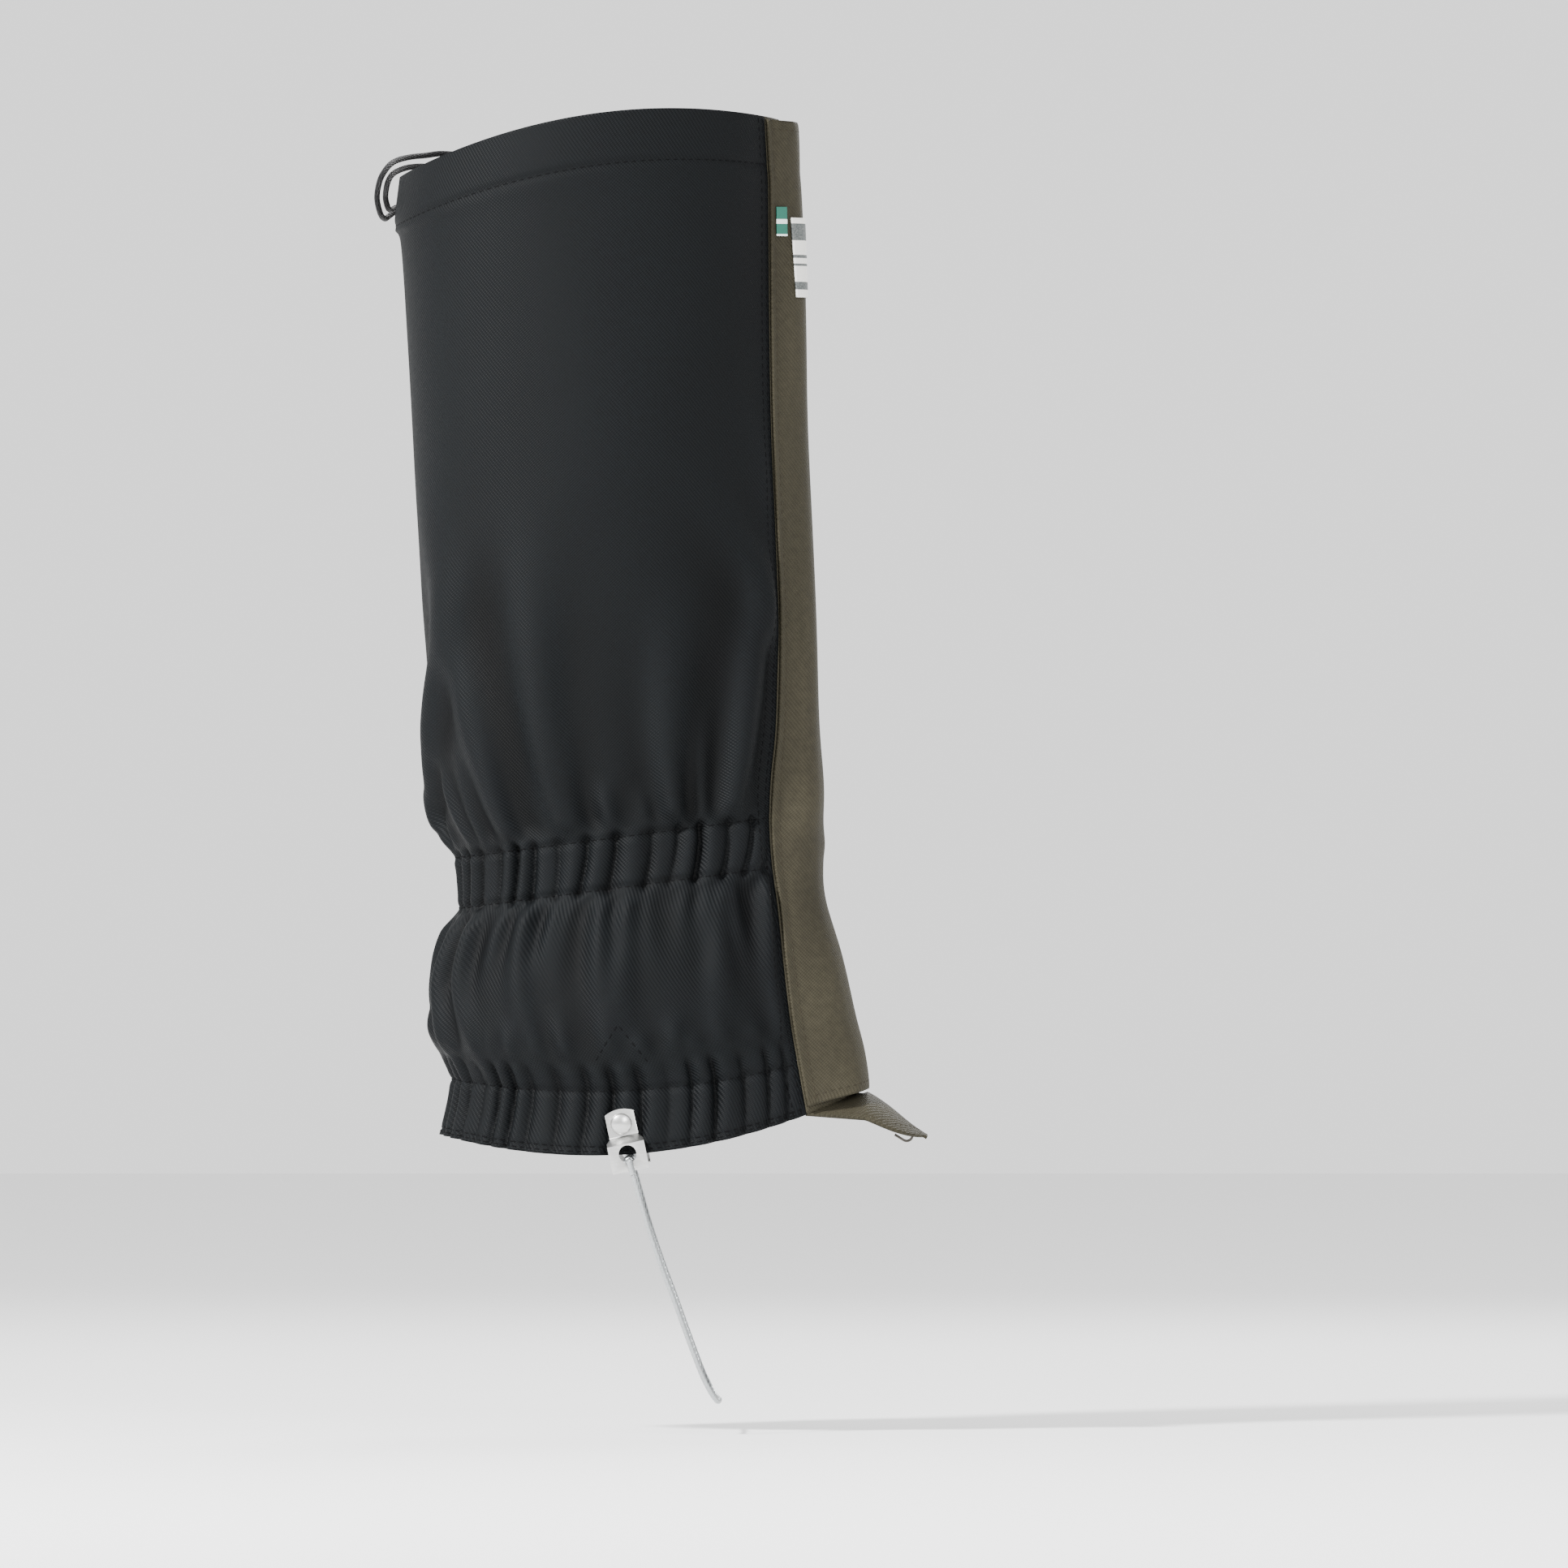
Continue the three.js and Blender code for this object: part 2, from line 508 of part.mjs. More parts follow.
const sliderChannel = box(SLIDER_HEIGHT, 2 * (sliderHalf - SLIDER_WALL), SLIDER_LENGTH + 4,
  (flangeLow + sliderTop) / 2 - SLIDER_WALL, 0, 0);
const PIN_Z = 3;
const PIN_RADIUS = 0.45;
const EYE_BORE = PIN_RADIUS + 0.3;
const EYE_RADIUS = EYE_BORE + 0.55;
const LUG_GAP = 3.6;
const pinX = sliderTop + 0.3 + EYE_RADIUS;
const pinPlace = new THREE.Vector3(pinX, 0, PIN_Z);
const across = new THREE.Vector3(0, 1, 0);
const lugHeight = pinX + 0.9 - sliderTop + 0.4;
const lug = (side) => box(lugHeight, 0.9, 2.4, sliderTop - 0.4 + lugHeight / 2, side * (LUG_GAP / 2 + 0.45), PIN_Z);
const sliderPin = turned(disc(PIN_RADIUS, -LUG_GAP / 2 - 0.4, LUG_GAP / 2 + 0.4), pinPlace, across, 10);
add('zip_slider', join(cut(sliderBlock, sliderChannel), lug(-1), lug(1), sliderPin), GUNMETAL, zipFrame);
const pullX = pinX - EYE_RADIUS + PULL_THICKNESS / 2;
const eyeHalf = LUG_GAP / 2 - 0.35;
const pullEye = turned(disc(EYE_RADIUS, -eyeHalf, eyeHalf), pinPlace, across, 14);
const pullNeck = box(PULL_THICKNESS, 2 * eyeHalf, 6, pullX, 0, PIN_Z - 3.4);
const pullTab = box(PULL_THICKNESS, PULL_WIDTH, PULL_LENGTH - 6, pullX, 0, PIN_Z - PULL_LENGTH / 2 - 2.6);
const pullBore = turned(disc(EYE_BORE, -eyeHalf - 1, eyeHalf + 1), pinPlace, across, 12);
add('zip_pull', cut(join(pullEye, pullNeck, pullTab), pullBore), GUNMETAL, zipFrame);

// Reinforcement inside the skirt behind each rivet: a triangle that points up
const PATCH_APEX = 40;
const PATCH_BOTTOM = -5;
const PATCH_HALF_WIDTH = 16;
const PATCH_THICKNESS = 0.8;
const patchInner = -FABRIC - 2 * LAYER_GAP - ELASTIC_THICKNESS - PATCH_THICKNESS;
function patch(side) {
  const middle = side * THREE.MathUtils.degToRad(97.5);
  const top = sideRow(18) - 1;
  const half = (v) => arc(PATCH_HALF_WIDTH * Math.min(1, 0.12 + (v - top) / 1.1), v);
  const edges = [(v) => middle - half(v), (v) => middle + half(v)];
  return cut(layer({
    from: edges[0], to: edges[1], top, bottom: sideRow(PATCH_BOTTOM), cols: 4, rows: 6,
    inner: constant(patchInner), outer: constant(patchInner + PATCH_THICKNESS),
  }), rivetHole);
}

// Keyhole plate, drawn round its rivet: x across, z down from the rivet, y out from the leg
const PLATE_CLEARANCE = 1;
const plateInner = rivetFace + PLATE_CLEARANCE;
const plateOuter = plateInner + PLATE_THICKNESS;
function plateOutline() {
  const top = PLATE_TOP_WIDTH / 2;
  const half = PLATE_WIDTH / 2;
  const shape = new THREE.Shape();
  shape.moveTo(-half, -PLATE_LENGTH);
  shape.lineTo(half, -PLATE_LENGTH);
  shape.lineTo(half, -SHOULDER_DROP - 1.5);
  shape.lineTo(top, -SHOULDER_DROP);
  shape.lineTo(top, PLATE_TOP - 1.4);
  shape.quadraticCurveTo(0, PLATE_TOP + 1.4, -top, PLATE_TOP - 1.4);
  shape.lineTo(-top, -SHOULDER_DROP);
  shape.lineTo(-half, -SHOULDER_DROP - 1.5);
  shape.closePath();
  const depth = 20;
  return new THREE.ExtrudeGeometry(shape, { depth, bevelEnabled: false, curveSegments: 8 })
    .rotateX(Math.PI / 2).translate(0, depth - 4, 0);
}
function plateProfile() {
  const [t, step, foot] = [PLATE_THICKNESS, PLATE_STEP, 2];
  const points = [
    [0, PLATE_TOP + 2], [t, PLATE_TOP + 2], [t, -SHOULDER_DROP + 0.4], [t + step, -SHOULDER_DROP - 2.6],
    [t + step, -PLATE_LENGTH], [step - foot, -PLATE_LENGTH], [step - foot, -PLATE_LENGTH + t],
    [step, -PLATE_LENGTH + t], [step, -SHOULDER_DROP - 3], [0, -SHOULDER_DROP],
  ];
  const shape = new THREE.Shape(points.map(([y, z]) => new THREE.Vector2(z, y)));
  return new THREE.ExtrudeGeometry(shape, { depth: 30, bevelEnabled: false })
    .translate(0, 0, -15).rotateY(-Math.PI / 2);
}
const throughPlate = (radius, z) => turned(disc(radius, -6, 12), new THREE.Vector3(0, 0, z), across, 20);
function plate() {
  const slotHeight = SLOT_DROP - KEYHOLE_DROP;
  const slot = box(SLOT_WIDTH, 18, slotHeight, 0, 3, -KEYHOLE_DROP - slotHeight / 2);
  const blank = toSolid(plateProfile()).intersect(toSolid(plateOutline()));
  return cut(toGeometry(blank), throughPlate(RIVET_SHANK_RADIUS + RIVET_HOLE_CLEARANCE, 0),
    throughPlate(KEYHOLE_RADIUS, -KEYHOLE_DROP), slot);
}

// Ball end: ball behind the plate, neck through the slot and a short sleeve that holds the wire
const BALL_DROP = SLOT_DROP - SLOT_WIDTH / 2;
const NECK_RADIUS = 0.85;
const SLEEVE_LENGTH = 5;
const SLEEVE_RADIUS = 1.2;
const ballY = plateInner + PLATE_STEP - BALL_RADIUS - 0.3;
const elbowY = plateOuter + PLATE_STEP + 0.35 + SLEEVE_RADIUS;
const ballX = RIVET_X + BALL_DROP * Math.sin(PLATE_TILT);
const ballZ = RIVET_Z - BALL_DROP * Math.cos(PLATE_TILT);
const WIRE_START = new THREE.Vector3(0.29, -0.04, -0.957).normalize();
function wireEnd(side) {
  const ball = new THREE.SphereGeometry(BALL_RADIUS, 12, 8).translate(ballX, side * ballY, ballZ);
  const elbow = new THREE.SphereGeometry(SLEEVE_RADIUS, 8, 6).translate(ballX, side * elbowY, ballZ);
  const neck = turned(disc(NECK_RADIUS, ballY, elbowY), new THREE.Vector3(ballX, 0, ballZ),
    new THREE.Vector3(0, side, 0), 12);
  const down = WIRE_START.clone();
  down.y *= side;
  const sleeve = turned(disc(SLEEVE_RADIUS, 0, SLEEVE_LENGTH),
    new THREE.Vector3(ballX, side * elbowY, ballZ), down, 12);
  return join(ball, neck, elbow, sleeve);
}

// One set on each side
const WASHER_GAP = 0.5;        // over the curved patch
const WASHER_THICKNESS = 0.7;
const RIVET_TAIL_RADIUS = 2.8;
const washerTop = patchInner - WASHER_GAP;
const washerLow = washerTop - WASHER_THICKNESS;
const tailTop = washerLow - 0.3;
const tailLow = tailTop - WASHER_THICKNESS;
const rivetProfile = [
  [0, tailLow], [RIVET_TAIL_RADIUS, tailLow], [RIVET_TAIL_RADIUS, tailTop], [RIVET_SHANK_RADIUS, tailTop],
  [RIVET_SHANK_RADIUS, PLATE_CLEARANCE + PLATE_THICKNESS + 0.35],
  [RIVET_HEAD_RADIUS, PLATE_CLEARANCE + PLATE_THICKNESS + 0.35],
  [RIVET_HEAD_RADIUS * 0.86, PLATE_CLEARANCE + PLATE_THICKNESS + 1.15],
  [RIVET_HEAD_RADIUS * 0.5, PLATE_CLEARANCE + PLATE_THICKNESS + 1.75],
  [0, PLATE_CLEARANCE + PLATE_THICKNESS + 1.95],
];
SIDES.forEach((name, i) => {
  const side = i ? 1 : -1;
  const place = new THREE.Vector3(RIVET_X, side * rivetFace, RIVET_Z);
  const out = new THREE.Vector3(0, side, 0);
  add(`reinforcement_${name}`, patch(side), BLACK_CLOTH);
  add(`rivet_${name}`, turned(rivetProfile, place, out, 20), STEEL);
  const washer = [
    [RIVET_SHANK_RADIUS + RIVET_HOLE_CLEARANCE, washerLow], [RIVET_HEAD_RADIUS, washerLow],
    [RIVET_HEAD_RADIUS, washerTop], [RIVET_SHANK_RADIUS + RIVET_HOLE_CLEARANCE, washerTop],
    [RIVET_SHANK_RADIUS + RIVET_HOLE_CLEARANCE, washerLow],
  ];
  add(`rivet_washer_${name}`, turned(washer, place, out, 20), STEEL);
  const seat = new THREE.Group();
  seat.position.set(RIVET_X, side * plateInner, RIVET_Z);
  seat.rotation.y = -PLATE_TILT;
  gaiter.add(seat);
  let shape = plate();
  if (side < 0) {
    shape = toGeometry(toSolid(shape).mirror([0, 1, 0]));
  }
  add(`keyhole_plate_${name}`, shape, STEEL, seat);
  add(`wire_end_${name}`, wireEnd(side), STEEL);
});

// Instep wire, from the outer sleeve under the boot's arch to the inner one
const halfWire = [
  [9.5, 53.4, -35.4], [14.3, 51.4, -49.7], [19.5, 49.2, -63.7], [23.2, 47.4, -74], [26.5, 45.6, -83],
  [29.8, 43, -91.5], [32.8, 38.8, -97.5], [34.8, 33, -100.6], [35.6, 26, -101.3], [36, 13, -101.3],
];
const sleeveEnd = new THREE.Vector3(ballX, -elbowY, ballZ).addScaledVector(WIRE_START.clone()
  .multiply(new THREE.Vector3(1, -1, 1)), SLEEVE_LENGTH + 0.3);
const wireOuter = [[sleeveEnd.x, -sleeveEnd.y, sleeveEnd.z], [6.6, 54.8, -25.3], ...halfWire];
const wirePoints = [
  ...wireOuter.map(([x, y, z]) => new THREE.Vector3(x, -y, z)),
  new THREE.Vector3(36.1, 0, -101.3),
  ...wireOuter.reverse().map(([x, y, z]) => new THREE.Vector3(x, y, z)),
];
add('instep_wire', cord(wirePoints, WIRE_RADIUS, 8, 48), STEEL);

// Drawcord: out of the first eyelet, through the cord lock, round the rear edge and back
const DRAWCORD = [
  [-44.8, 54.4, 365.9], [-46.6, 60, 365.3], [-51.5, 63, 361], [-58, 62.3, 354.5], [-65.2, 57.4, 350.4],
  [-69.5, 53.1, 350], [-80.9, 41.9, 350], [-85.3, 34.5, 348.3], [-88.6, 24.5, 345.6], [-90.4, 13, 344.2],
  [-92, 3.5, 346.5], [-93, 0, 352], [-92, 1, 358], [-89.5, 8.5, 363], [-86.5, 19.5, 366],
  [-81.5, 31, 367.8], [-75, 41, 368.8], [-69, 46.3, 369.6], [-63.5, 49.5, 368.8], [-61, 50.6, 365.8],
  [-63.3, 49.6, 362.6], [-68, 46.5, 362.6], [-74, 41, 364.4], [-80.3, 31, 364.2], [-85.2, 19.8, 362.5],
  [-88, 9.5, 360], [-89.4, 2.5, 356], [-89.8, 1, 352], [-89.2, 4, 348.8], [-88.2, 13, 347.5],
  [-86.3, 24.3, 348.6], [-83, 33.5, 349.8], [-79.1, 40.1, 350], [-67.7, 51.3, 350], [-63.4, 55.5, 350.6],
  [-58.6, 57.6, 355.5], [-55.8, 56, 361], [-54, 52.2, 363], [-53.6, 50.8, 363.1],
];
add('drawcord', cord(DRAWCORD.map((p) => new THREE.Vector3(...p)), CORD_RADIUS, 8, 64), BLACK_TRIM);

// Cord lock: barrel, sprung plunger and spring, with a slot for the two strands
const LOCK_PLACE = [-74.3, 46.6, 350];
const LOCK_ANGLE = THREE.MathUtils.degToRad(134.6);
const BARREL_RADIUS = 6.5;
const BARREL_WALL = 1.4;
const BARREL_TOP = 5.4;
const BARREL_FLOOR = -9.5;
const PLUNGER_CLEARANCE = 0.4;
const PLUNGER_TRAVEL = 4;
const STRANDS_WIDTH = 5.8;
const STRAND_ROOM = 3.2;
const lock = new THREE.Group();
lock.position.set(...LOCK_PLACE);
lock.rotation.z = LOCK_ANGLE;
gaiter.add(lock);
const upright = new THREE.Vector3(0, 0, 1);
const centre = new THREE.Vector3();
const bore = BARREL_RADIUS - BARREL_WALL;
const barrel = turned([
  [0, BARREL_FLOOR - 1.2], [BARREL_RADIUS - 1, BARREL_FLOOR - 1.2], [BARREL_RADIUS, BARREL_FLOOR],
  [BARREL_RADIUS, BARREL_TOP], [bore, BARREL_TOP], [bore, BARREL_FLOOR], [0, BARREL_FLOOR],
], centre, upright, 20);
add('cord_lock_barrel', cut(barrel, box(STRANDS_WIDTH, 20, STRAND_ROOM, 0, 0, 0)), PLASTIC, lock);
const plungerRadius = bore - PLUNGER_CLEARANCE;
const PLUNGER_LOW = -2.9;
const plunger = turned([
  [0, PLUNGER_LOW], [plungerRadius, PLUNGER_LOW], [plungerRadius, BARREL_TOP + PLUNGER_TRAVEL + 0.5],
  [plungerRadius - 1, BARREL_TOP + PLUNGER_TRAVEL + 1.5], [0, BARREL_TOP + PLUNGER_TRAVEL + 1.5],
], centre, upright, 20);
const plungerSlot = box(STRANDS_WIDTH, 20, STRAND_ROOM + PLUNGER_TRAVEL, 0, 0, PLUNGER_TRAVEL / 2);
add('cord_lock_plunger', cut(plunger, plungerSlot), PLASTIC, lock);
const SPRING_WIRE = 0.35;
const SPRING_RADIUS = 3.4;
const SPRING_TURNS = 4;
const springLow = BARREL_FLOOR + 0.3 + SPRING_WIRE;
const springHigh = PLUNGER_LOW - 0.3 - SPRING_WIRE;
const springPoints = [];
for (let i = 0; i <= SPRING_TURNS * 10; i += 1) {
  const turn = (2 * Math.PI * i) / 10;
  const z = springLow + ((springHigh - springLow) * i) / (SPRING_TURNS * 10);
  springPoints.push(new THREE.Vector3(SPRING_RADIUS * Math.cos(turn), SPRING_RADIUS * Math.sin(turn), z));
}
add('cord_lock_spring', cord(springPoints, SPRING_WIRE, 6, SPRING_TURNS * 10), STEEL, lock);

// Over the instep: a panel sewn under the front panels, the toe tab and its lace hook
const CREASE_X = 92;
const CREASE_Z = 12.5;
const TAB_HALF_WIDTH = 21;
const TAB_DROOP = 9.7;
const TAB_LENGTH = 22;
const TAB_FALL = 13.4;
const creaseZ = (w) => CREASE_Z - TAB_DROOP * w * w;
function instepPanel() {
  const v = PANEL_BOTTOM;
  const edge = (w) => leg(w * (seamAngle(v) - arc(1, v)), v, -0.2).add(new THREE.Vector3(0, 0, -0.5));
  const outer = (i, j) => {
    const w = 2 * i - 1;
    const crease = new THREE.Vector3(CREASE_X, w * TAB_HALF_WIDTH, creaseZ(w));
    return edge(w).lerp(crease, j);
  };
  const inner = (i, j) => outer(i, j).add(new THREE.Vector3(-0.55, -0.6 * (2 * i - 1), -1));
  return skin(10, 2, outer, inner);
}
add('instep_panel', instepPanel(), OLIVE_CLOTH);
function toeTab() {
  const outer = (i, s) => {
    const w = 2 * i - 1;
    const half = TAB_HALF_WIDTH * Math.max(0.12, 1 - s ** 2.4) ** 0.6;
    const y = w * half;
    const droop = TAB_DROOP * w * w * (half / TAB_HALF_WIDTH) ** 1.5 * (1 - 0.45 * s);
    return new THREE.Vector3(CREASE_X + SEAM_GAP + TAB_LENGTH * s, y, CREASE_Z - 0.3 - TAB_FALL * s - droop);
  };
  const inner = (i, s) => outer(i, s).add(new THREE.Vector3(-0.55, -0.6 * (2 * i - 1), -1));
  return skin(10, 10, outer, inner);
}
add('toe_tab', toeTab(), OLIVE_CLOTH);
const HOOK_WIDTH = 7;
function laceHook() {
  const shape = new THREE.Shape();
  shape.moveTo(-4, 0);
  shape.lineTo(4, 0);
  shape.absarc(4, -2.6, 2.6, Math.PI / 2, -Math.PI / 2, true);
  shape.lineTo(0, -5.2);
  shape.lineTo(0, -4.3);
  shape.lineTo(4, -4.3);
  shape.absarc(4, -2.6, 1.7, -Math.PI / 2, Math.PI / 2, false);
  shape.lineTo(-4, -0.9);
  shape.closePath();
  return new THREE.ExtrudeGeometry(shape, { depth: HOOK_WIDTH, bevelEnabled: false, curveSegments: 8 })
    .rotateX(Math.PI / 2).translate(0, HOOK_WIDTH / 2, 0);
}
const hookFrame = new THREE.Group();
const HOOK_SHARE = 0.55;
hookFrame.position.set(CREASE_X + SEAM_GAP + TAB_LENGTH * HOOK_SHARE, 0,
  CREASE_Z - 0.3 - TAB_FALL * HOOK_SHARE - 2.1);
hookFrame.rotation.y = Math.atan(TAB_FALL / TAB_LENGTH);
gaiter.add(hookFrame);
add('lace_hook', laceHook(), GUNMETAL, hookFrame);

export default gaiter;
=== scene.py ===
"""A walking gaiter for the right foot: black twill, olive storm flap and toe tab, steel instep wire."""
import json
import math

import bmesh
import bpy
import numpy as np
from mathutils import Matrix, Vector


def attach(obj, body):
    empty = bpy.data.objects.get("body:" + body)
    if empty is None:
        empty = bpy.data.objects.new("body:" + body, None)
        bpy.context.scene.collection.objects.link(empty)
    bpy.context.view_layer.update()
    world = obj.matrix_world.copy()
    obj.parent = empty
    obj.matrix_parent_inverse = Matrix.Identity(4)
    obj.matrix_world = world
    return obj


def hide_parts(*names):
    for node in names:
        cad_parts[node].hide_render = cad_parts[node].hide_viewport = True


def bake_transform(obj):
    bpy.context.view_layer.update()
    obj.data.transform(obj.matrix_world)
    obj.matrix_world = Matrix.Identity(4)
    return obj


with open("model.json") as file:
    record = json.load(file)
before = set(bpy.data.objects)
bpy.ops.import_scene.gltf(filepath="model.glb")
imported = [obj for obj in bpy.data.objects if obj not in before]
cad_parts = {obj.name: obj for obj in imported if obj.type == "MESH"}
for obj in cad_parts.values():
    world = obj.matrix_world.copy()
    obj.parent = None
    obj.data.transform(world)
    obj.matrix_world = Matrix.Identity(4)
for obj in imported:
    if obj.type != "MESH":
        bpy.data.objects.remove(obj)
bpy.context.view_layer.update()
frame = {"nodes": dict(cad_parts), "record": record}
MM = 0.001

# ---------------------------------------------------------------- camera, floor and light
SOLE_Z = -0.1135            # the ground under the boot that the gaiter is worn with
VIEW_WIDTH = 0.589          # what the picture's width covers in the plane y = VIEW_PLANE_Y
CAMERA_DISTANCE = 9.0
CAMERA_X, CAMERA_Z = 0.0604, 0.1308
VIEW_PLANE_Y = -0.03
SENSOR = 36.0
FLOOR_HALF = 6.0
STUDIO_CENTRE = (0.0, 0.0, 0.15)


def make_camera():
    data = bpy.data.cameras.new("camera")
    data.sensor_width = SENSOR
    data.lens = SENSOR * CAMERA_DISTANCE / VIEW_WIDTH
    camera = bpy.data.objects.new("camera", data)
    camera.location = (CAMERA_X, VIEW_PLANE_Y - CAMERA_DISTANCE, CAMERA_Z)
    camera.rotation_euler = (math.radians(90), 0, 0)
    bpy.context.collection.objects.link(camera)
    bpy.context.scene.camera = camera


def area_light(name, place, size, energy):
    data = bpy.data.lights.new(name, "AREA")
    data.shape = "DISK"
    data.size = size
    data.energy = energy
    light = bpy.data.objects.new(name, data)
    light.location = place
    aim = Vector(STUDIO_CENTRE) - Vector(place)
    light.rotation_euler = aim.to_track_quat("-Z", "Y").to_euler()
    bpy.context.collection.objects.link(light)


def make_studio():
    area_light("key", (-1.35, -1.35, 1.7), 0.3, 190)
    area_light("fill", (0.7, -2.0, 0.9), 0.6, 22)
    area_light("rim", (0.5, 1.6, 1.2), 1.0, 24)
    world = bpy.data.worlds.new("studio")
    bpy.context.scene.world = world
    world.use_nodes = True
    background = world.node_tree.nodes["Background"]
    background.inputs["Color"].default_value = (0.86, 0.86, 0.86, 1)
    background.inputs["Strength"].default_value = 1.75
    mesh = bpy.data.meshes.new("floor")
    corners = ((-1, -1), (1, -1), (1, 1), (-1, 1))
    mesh.from_pydata([(x * FLOOR_HALF, y * FLOOR_HALF, SOLE_Z) for x, y in corners], [], [(0, 1, 2, 3)])
    floor = bpy.data.objects.new("floor", mesh)
    bpy.context.collection.objects.link(floor)
    return floor


make_camera()
floor = make_studio()

# ---------------------------------------------------------------- materials
def new_material(name):
    material = bpy.data.materials.new(name)
    material.use_nodes = True
    tree = material.node_tree
    return material, tree, tree.nodes["Principled BSDF"]


def node(tree, kind, **inputs):
    made = tree.nodes.new(kind)
    for key, value in inputs.items():
        setattr(made, key, value)
    return made


def math_node(tree, operation, a, b=None, clamp=False):
    made = node(tree, "ShaderNodeMath", operation=operation, use_clamp=clamp)
    for socket, value in zip(made.inputs, (a, b)):
        if value is None:
            continue
        if isinstance(value, (int, float)):
            socket.default_value = value
        else:
            tree.links.new(value, socket)
    return made.outputs[0]


def mixed(tree, factor, dark, light):
    made = node(tree, "ShaderNodeMix", data_type="RGBA")
    tree.links.new(factor, made.inputs["Factor"])
    made.inputs["A"].default_value = (*dark, 1)
    made.inputs["B"].default_value = (*light, 1)
    return made.outputs["Result"]


def noise(tree, scale, detail=3.0, vector=None):
    made = node(tree, "ShaderNodeTexNoise")
    made.inputs["Scale"].default_value = scale
    made.inputs["Detail"].default_value = detail
    if vector is None:
        vector = node(tree, "ShaderNodeTexCoord").outputs["Object"]
    tree.links.new(vector, made.inputs["Vector"])
    return made.outputs["Fac"]


def bump(tree, shader, height, strength, distance):
    made = node(tree, "ShaderNodeBump")
    made.inputs["Strength"].default_value = strength
    made.inputs["Distance"].default_value = distance
    tree.links.new(height, made.inputs["Height"])
    tree.links.new(made.outputs["Normal"], shader.inputs["Normal"])


def weave_axes(tree):
    attribute = node(tree, "ShaderNodeAttribute", attribute_name="weave")
    split = node(tree, "ShaderNodeSeparateXYZ")
    tree.links.new(attribute.outputs["Vector"], split.inputs[0])
    return split.outputs[0], split.outputs[1], attribute.outputs["Vector"]


def crease_shade_factor(tree):
    """Painted shade: 1 on the open cloth and on ridges, less in the creases, where the dye is darkened to
    stand in for the shade that falls there.
    """
    attribute = node(tree, "ShaderNodeAttribute", attribute_name="fold")
    depth = math_node(tree, "MULTIPLY", attribute.outputs["Fac"], 0.24)
    return math_node(tree, "ADD", depth, 0.86, clamp=True)


def twill(name, shade, base, light, rib=1.15, sheen=0.05, gloss=0.2):
    """Twill with ribs that run down to the right, a finer yarn across them, soft wear, and painted shade in
    the creases of the folds.
    """
    material, tree, shader = new_material(name)
    along, up, cloth = weave_axes(tree)
    diagonal = math_node(tree, "ADD", along, math_node(tree, "MULTIPLY", up, 0.85))
    ribs = math_node(tree, "SINE", math_node(tree, "MULTIPLY", diagonal, 2 * math.pi * 0.76 / rib))
    across = math_node(tree, "SUBTRACT", math_node(tree, "MULTIPLY", along, 0.85), up)
    yarn = math_node(tree, "SINE", math_node(tree, "MULTIPLY", across, 2 * math.pi * 0.76 / (0.62 * rib)))
    slub = noise(tree, 0.35, 4.0, cloth)
    height = math_node(tree, "ADD", math_node(tree, "MULTIPLY", ribs, 0.5),
                       math_node(tree, "MULTIPLY", yarn, 0.22))
    tone = math_node(tree, "ADD", math_node(tree, "MULTIPLY", height, 0.3), slub, clamp=True)
    first = mixed(tree, tone, shade, base)
    worn = noise(tree, 22.0, 2.0)
    blend = node(tree, "ShaderNodeMix", data_type="RGBA")
    tree.links.new(math_node(tree, "MULTIPLY", worn, 0.45), blend.inputs["Factor"])
    tree.links.new(first, blend.inputs["A"])
    blend.inputs["B"].default_value = (*light, 1)
    # painted shade: the colour is mixed towards a third of the shade colour where the cloth lies in a fold
    # crease
    crease_shaded = node(tree, "ShaderNodeMix", data_type="RGBA")
    tree.links.new(crease_shade_factor(tree), crease_shaded.inputs["Factor"])
    crease_shaded.inputs["A"].default_value = (*(0.35 * value for value in shade), 1)
    tree.links.new(blend.outputs["Result"], crease_shaded.inputs["B"])
    tree.links.new(crease_shaded.outputs["Result"], shader.inputs["Base Color"])
    rough = math_node(tree, "MULTIPLY_ADD", slub, 0.2)
    tree.nodes[-1].inputs[2].default_value = 0.52
    tree.links.new(rough, shader.inputs["Roughness"])
    shader.inputs["Sheen Weight"].default_value = sheen
    shader.inputs["Sheen Roughness"].default_value = 0.4
    shader.inputs["Specular IOR Level"].default_value = gloss
    bump(tree, shader, height, 0.55, 0.00025)
    return material


def webbing(name, dark, light, pitch=0.9):
    """A narrow woven tape: crossing yarns in small blocks."""
    material, tree, shader = new_material(name)
    checker = node(tree, "ShaderNodeTexNoise")
    checker.inputs["Scale"].default_value = 900 / pitch
    checker.inputs["Detail"].default_value = 2
    tree.links.new(node(tree, "ShaderNodeTexCoord").outputs["Object"], checker.inputs["Vector"])
    tree.links.new(mixed(tree, checker.outputs["Fac"], dark, light), shader.inputs["Base Color"])
    shader.inputs["Roughness"].default_value = 0.8
    shader.inputs["Specular IOR Level"].default_value = 0.2
    bump(tree, shader, checker.outputs["Fac"], 0.7, 0.0004)
    return material


def metal(name, dark, light, roughness, grain=260.0, wear=0.12):
    """Plated steel with fine rubbed grain and small scuffs."""
    material, tree, shader = new_material(name)
    place = node(tree, "ShaderNodeMapping")
    place.inputs["Scale"].default_value = (1, 1, 6)
    tree.links.new(node(tree, "ShaderNodeTexCoord").outputs["Object"], place.inputs["Vector"])
    rubbed = noise(tree, grain, 5.0, place.outputs["Vector"])
    tree.links.new(mixed(tree, rubbed, dark, light), shader.inputs["Base Color"])
    shader.inputs["Metallic"].default_value = 1.0
    rough = math_node(tree, "MULTIPLY_ADD", noise(tree, 95.0, 3.0), wear)
    tree.nodes[-1].inputs[2].default_value = roughness
    tree.links.new(rough, shader.inputs["Roughness"])
    bump(tree, shader, rubbed, 0.12, 0.0002)
    return material


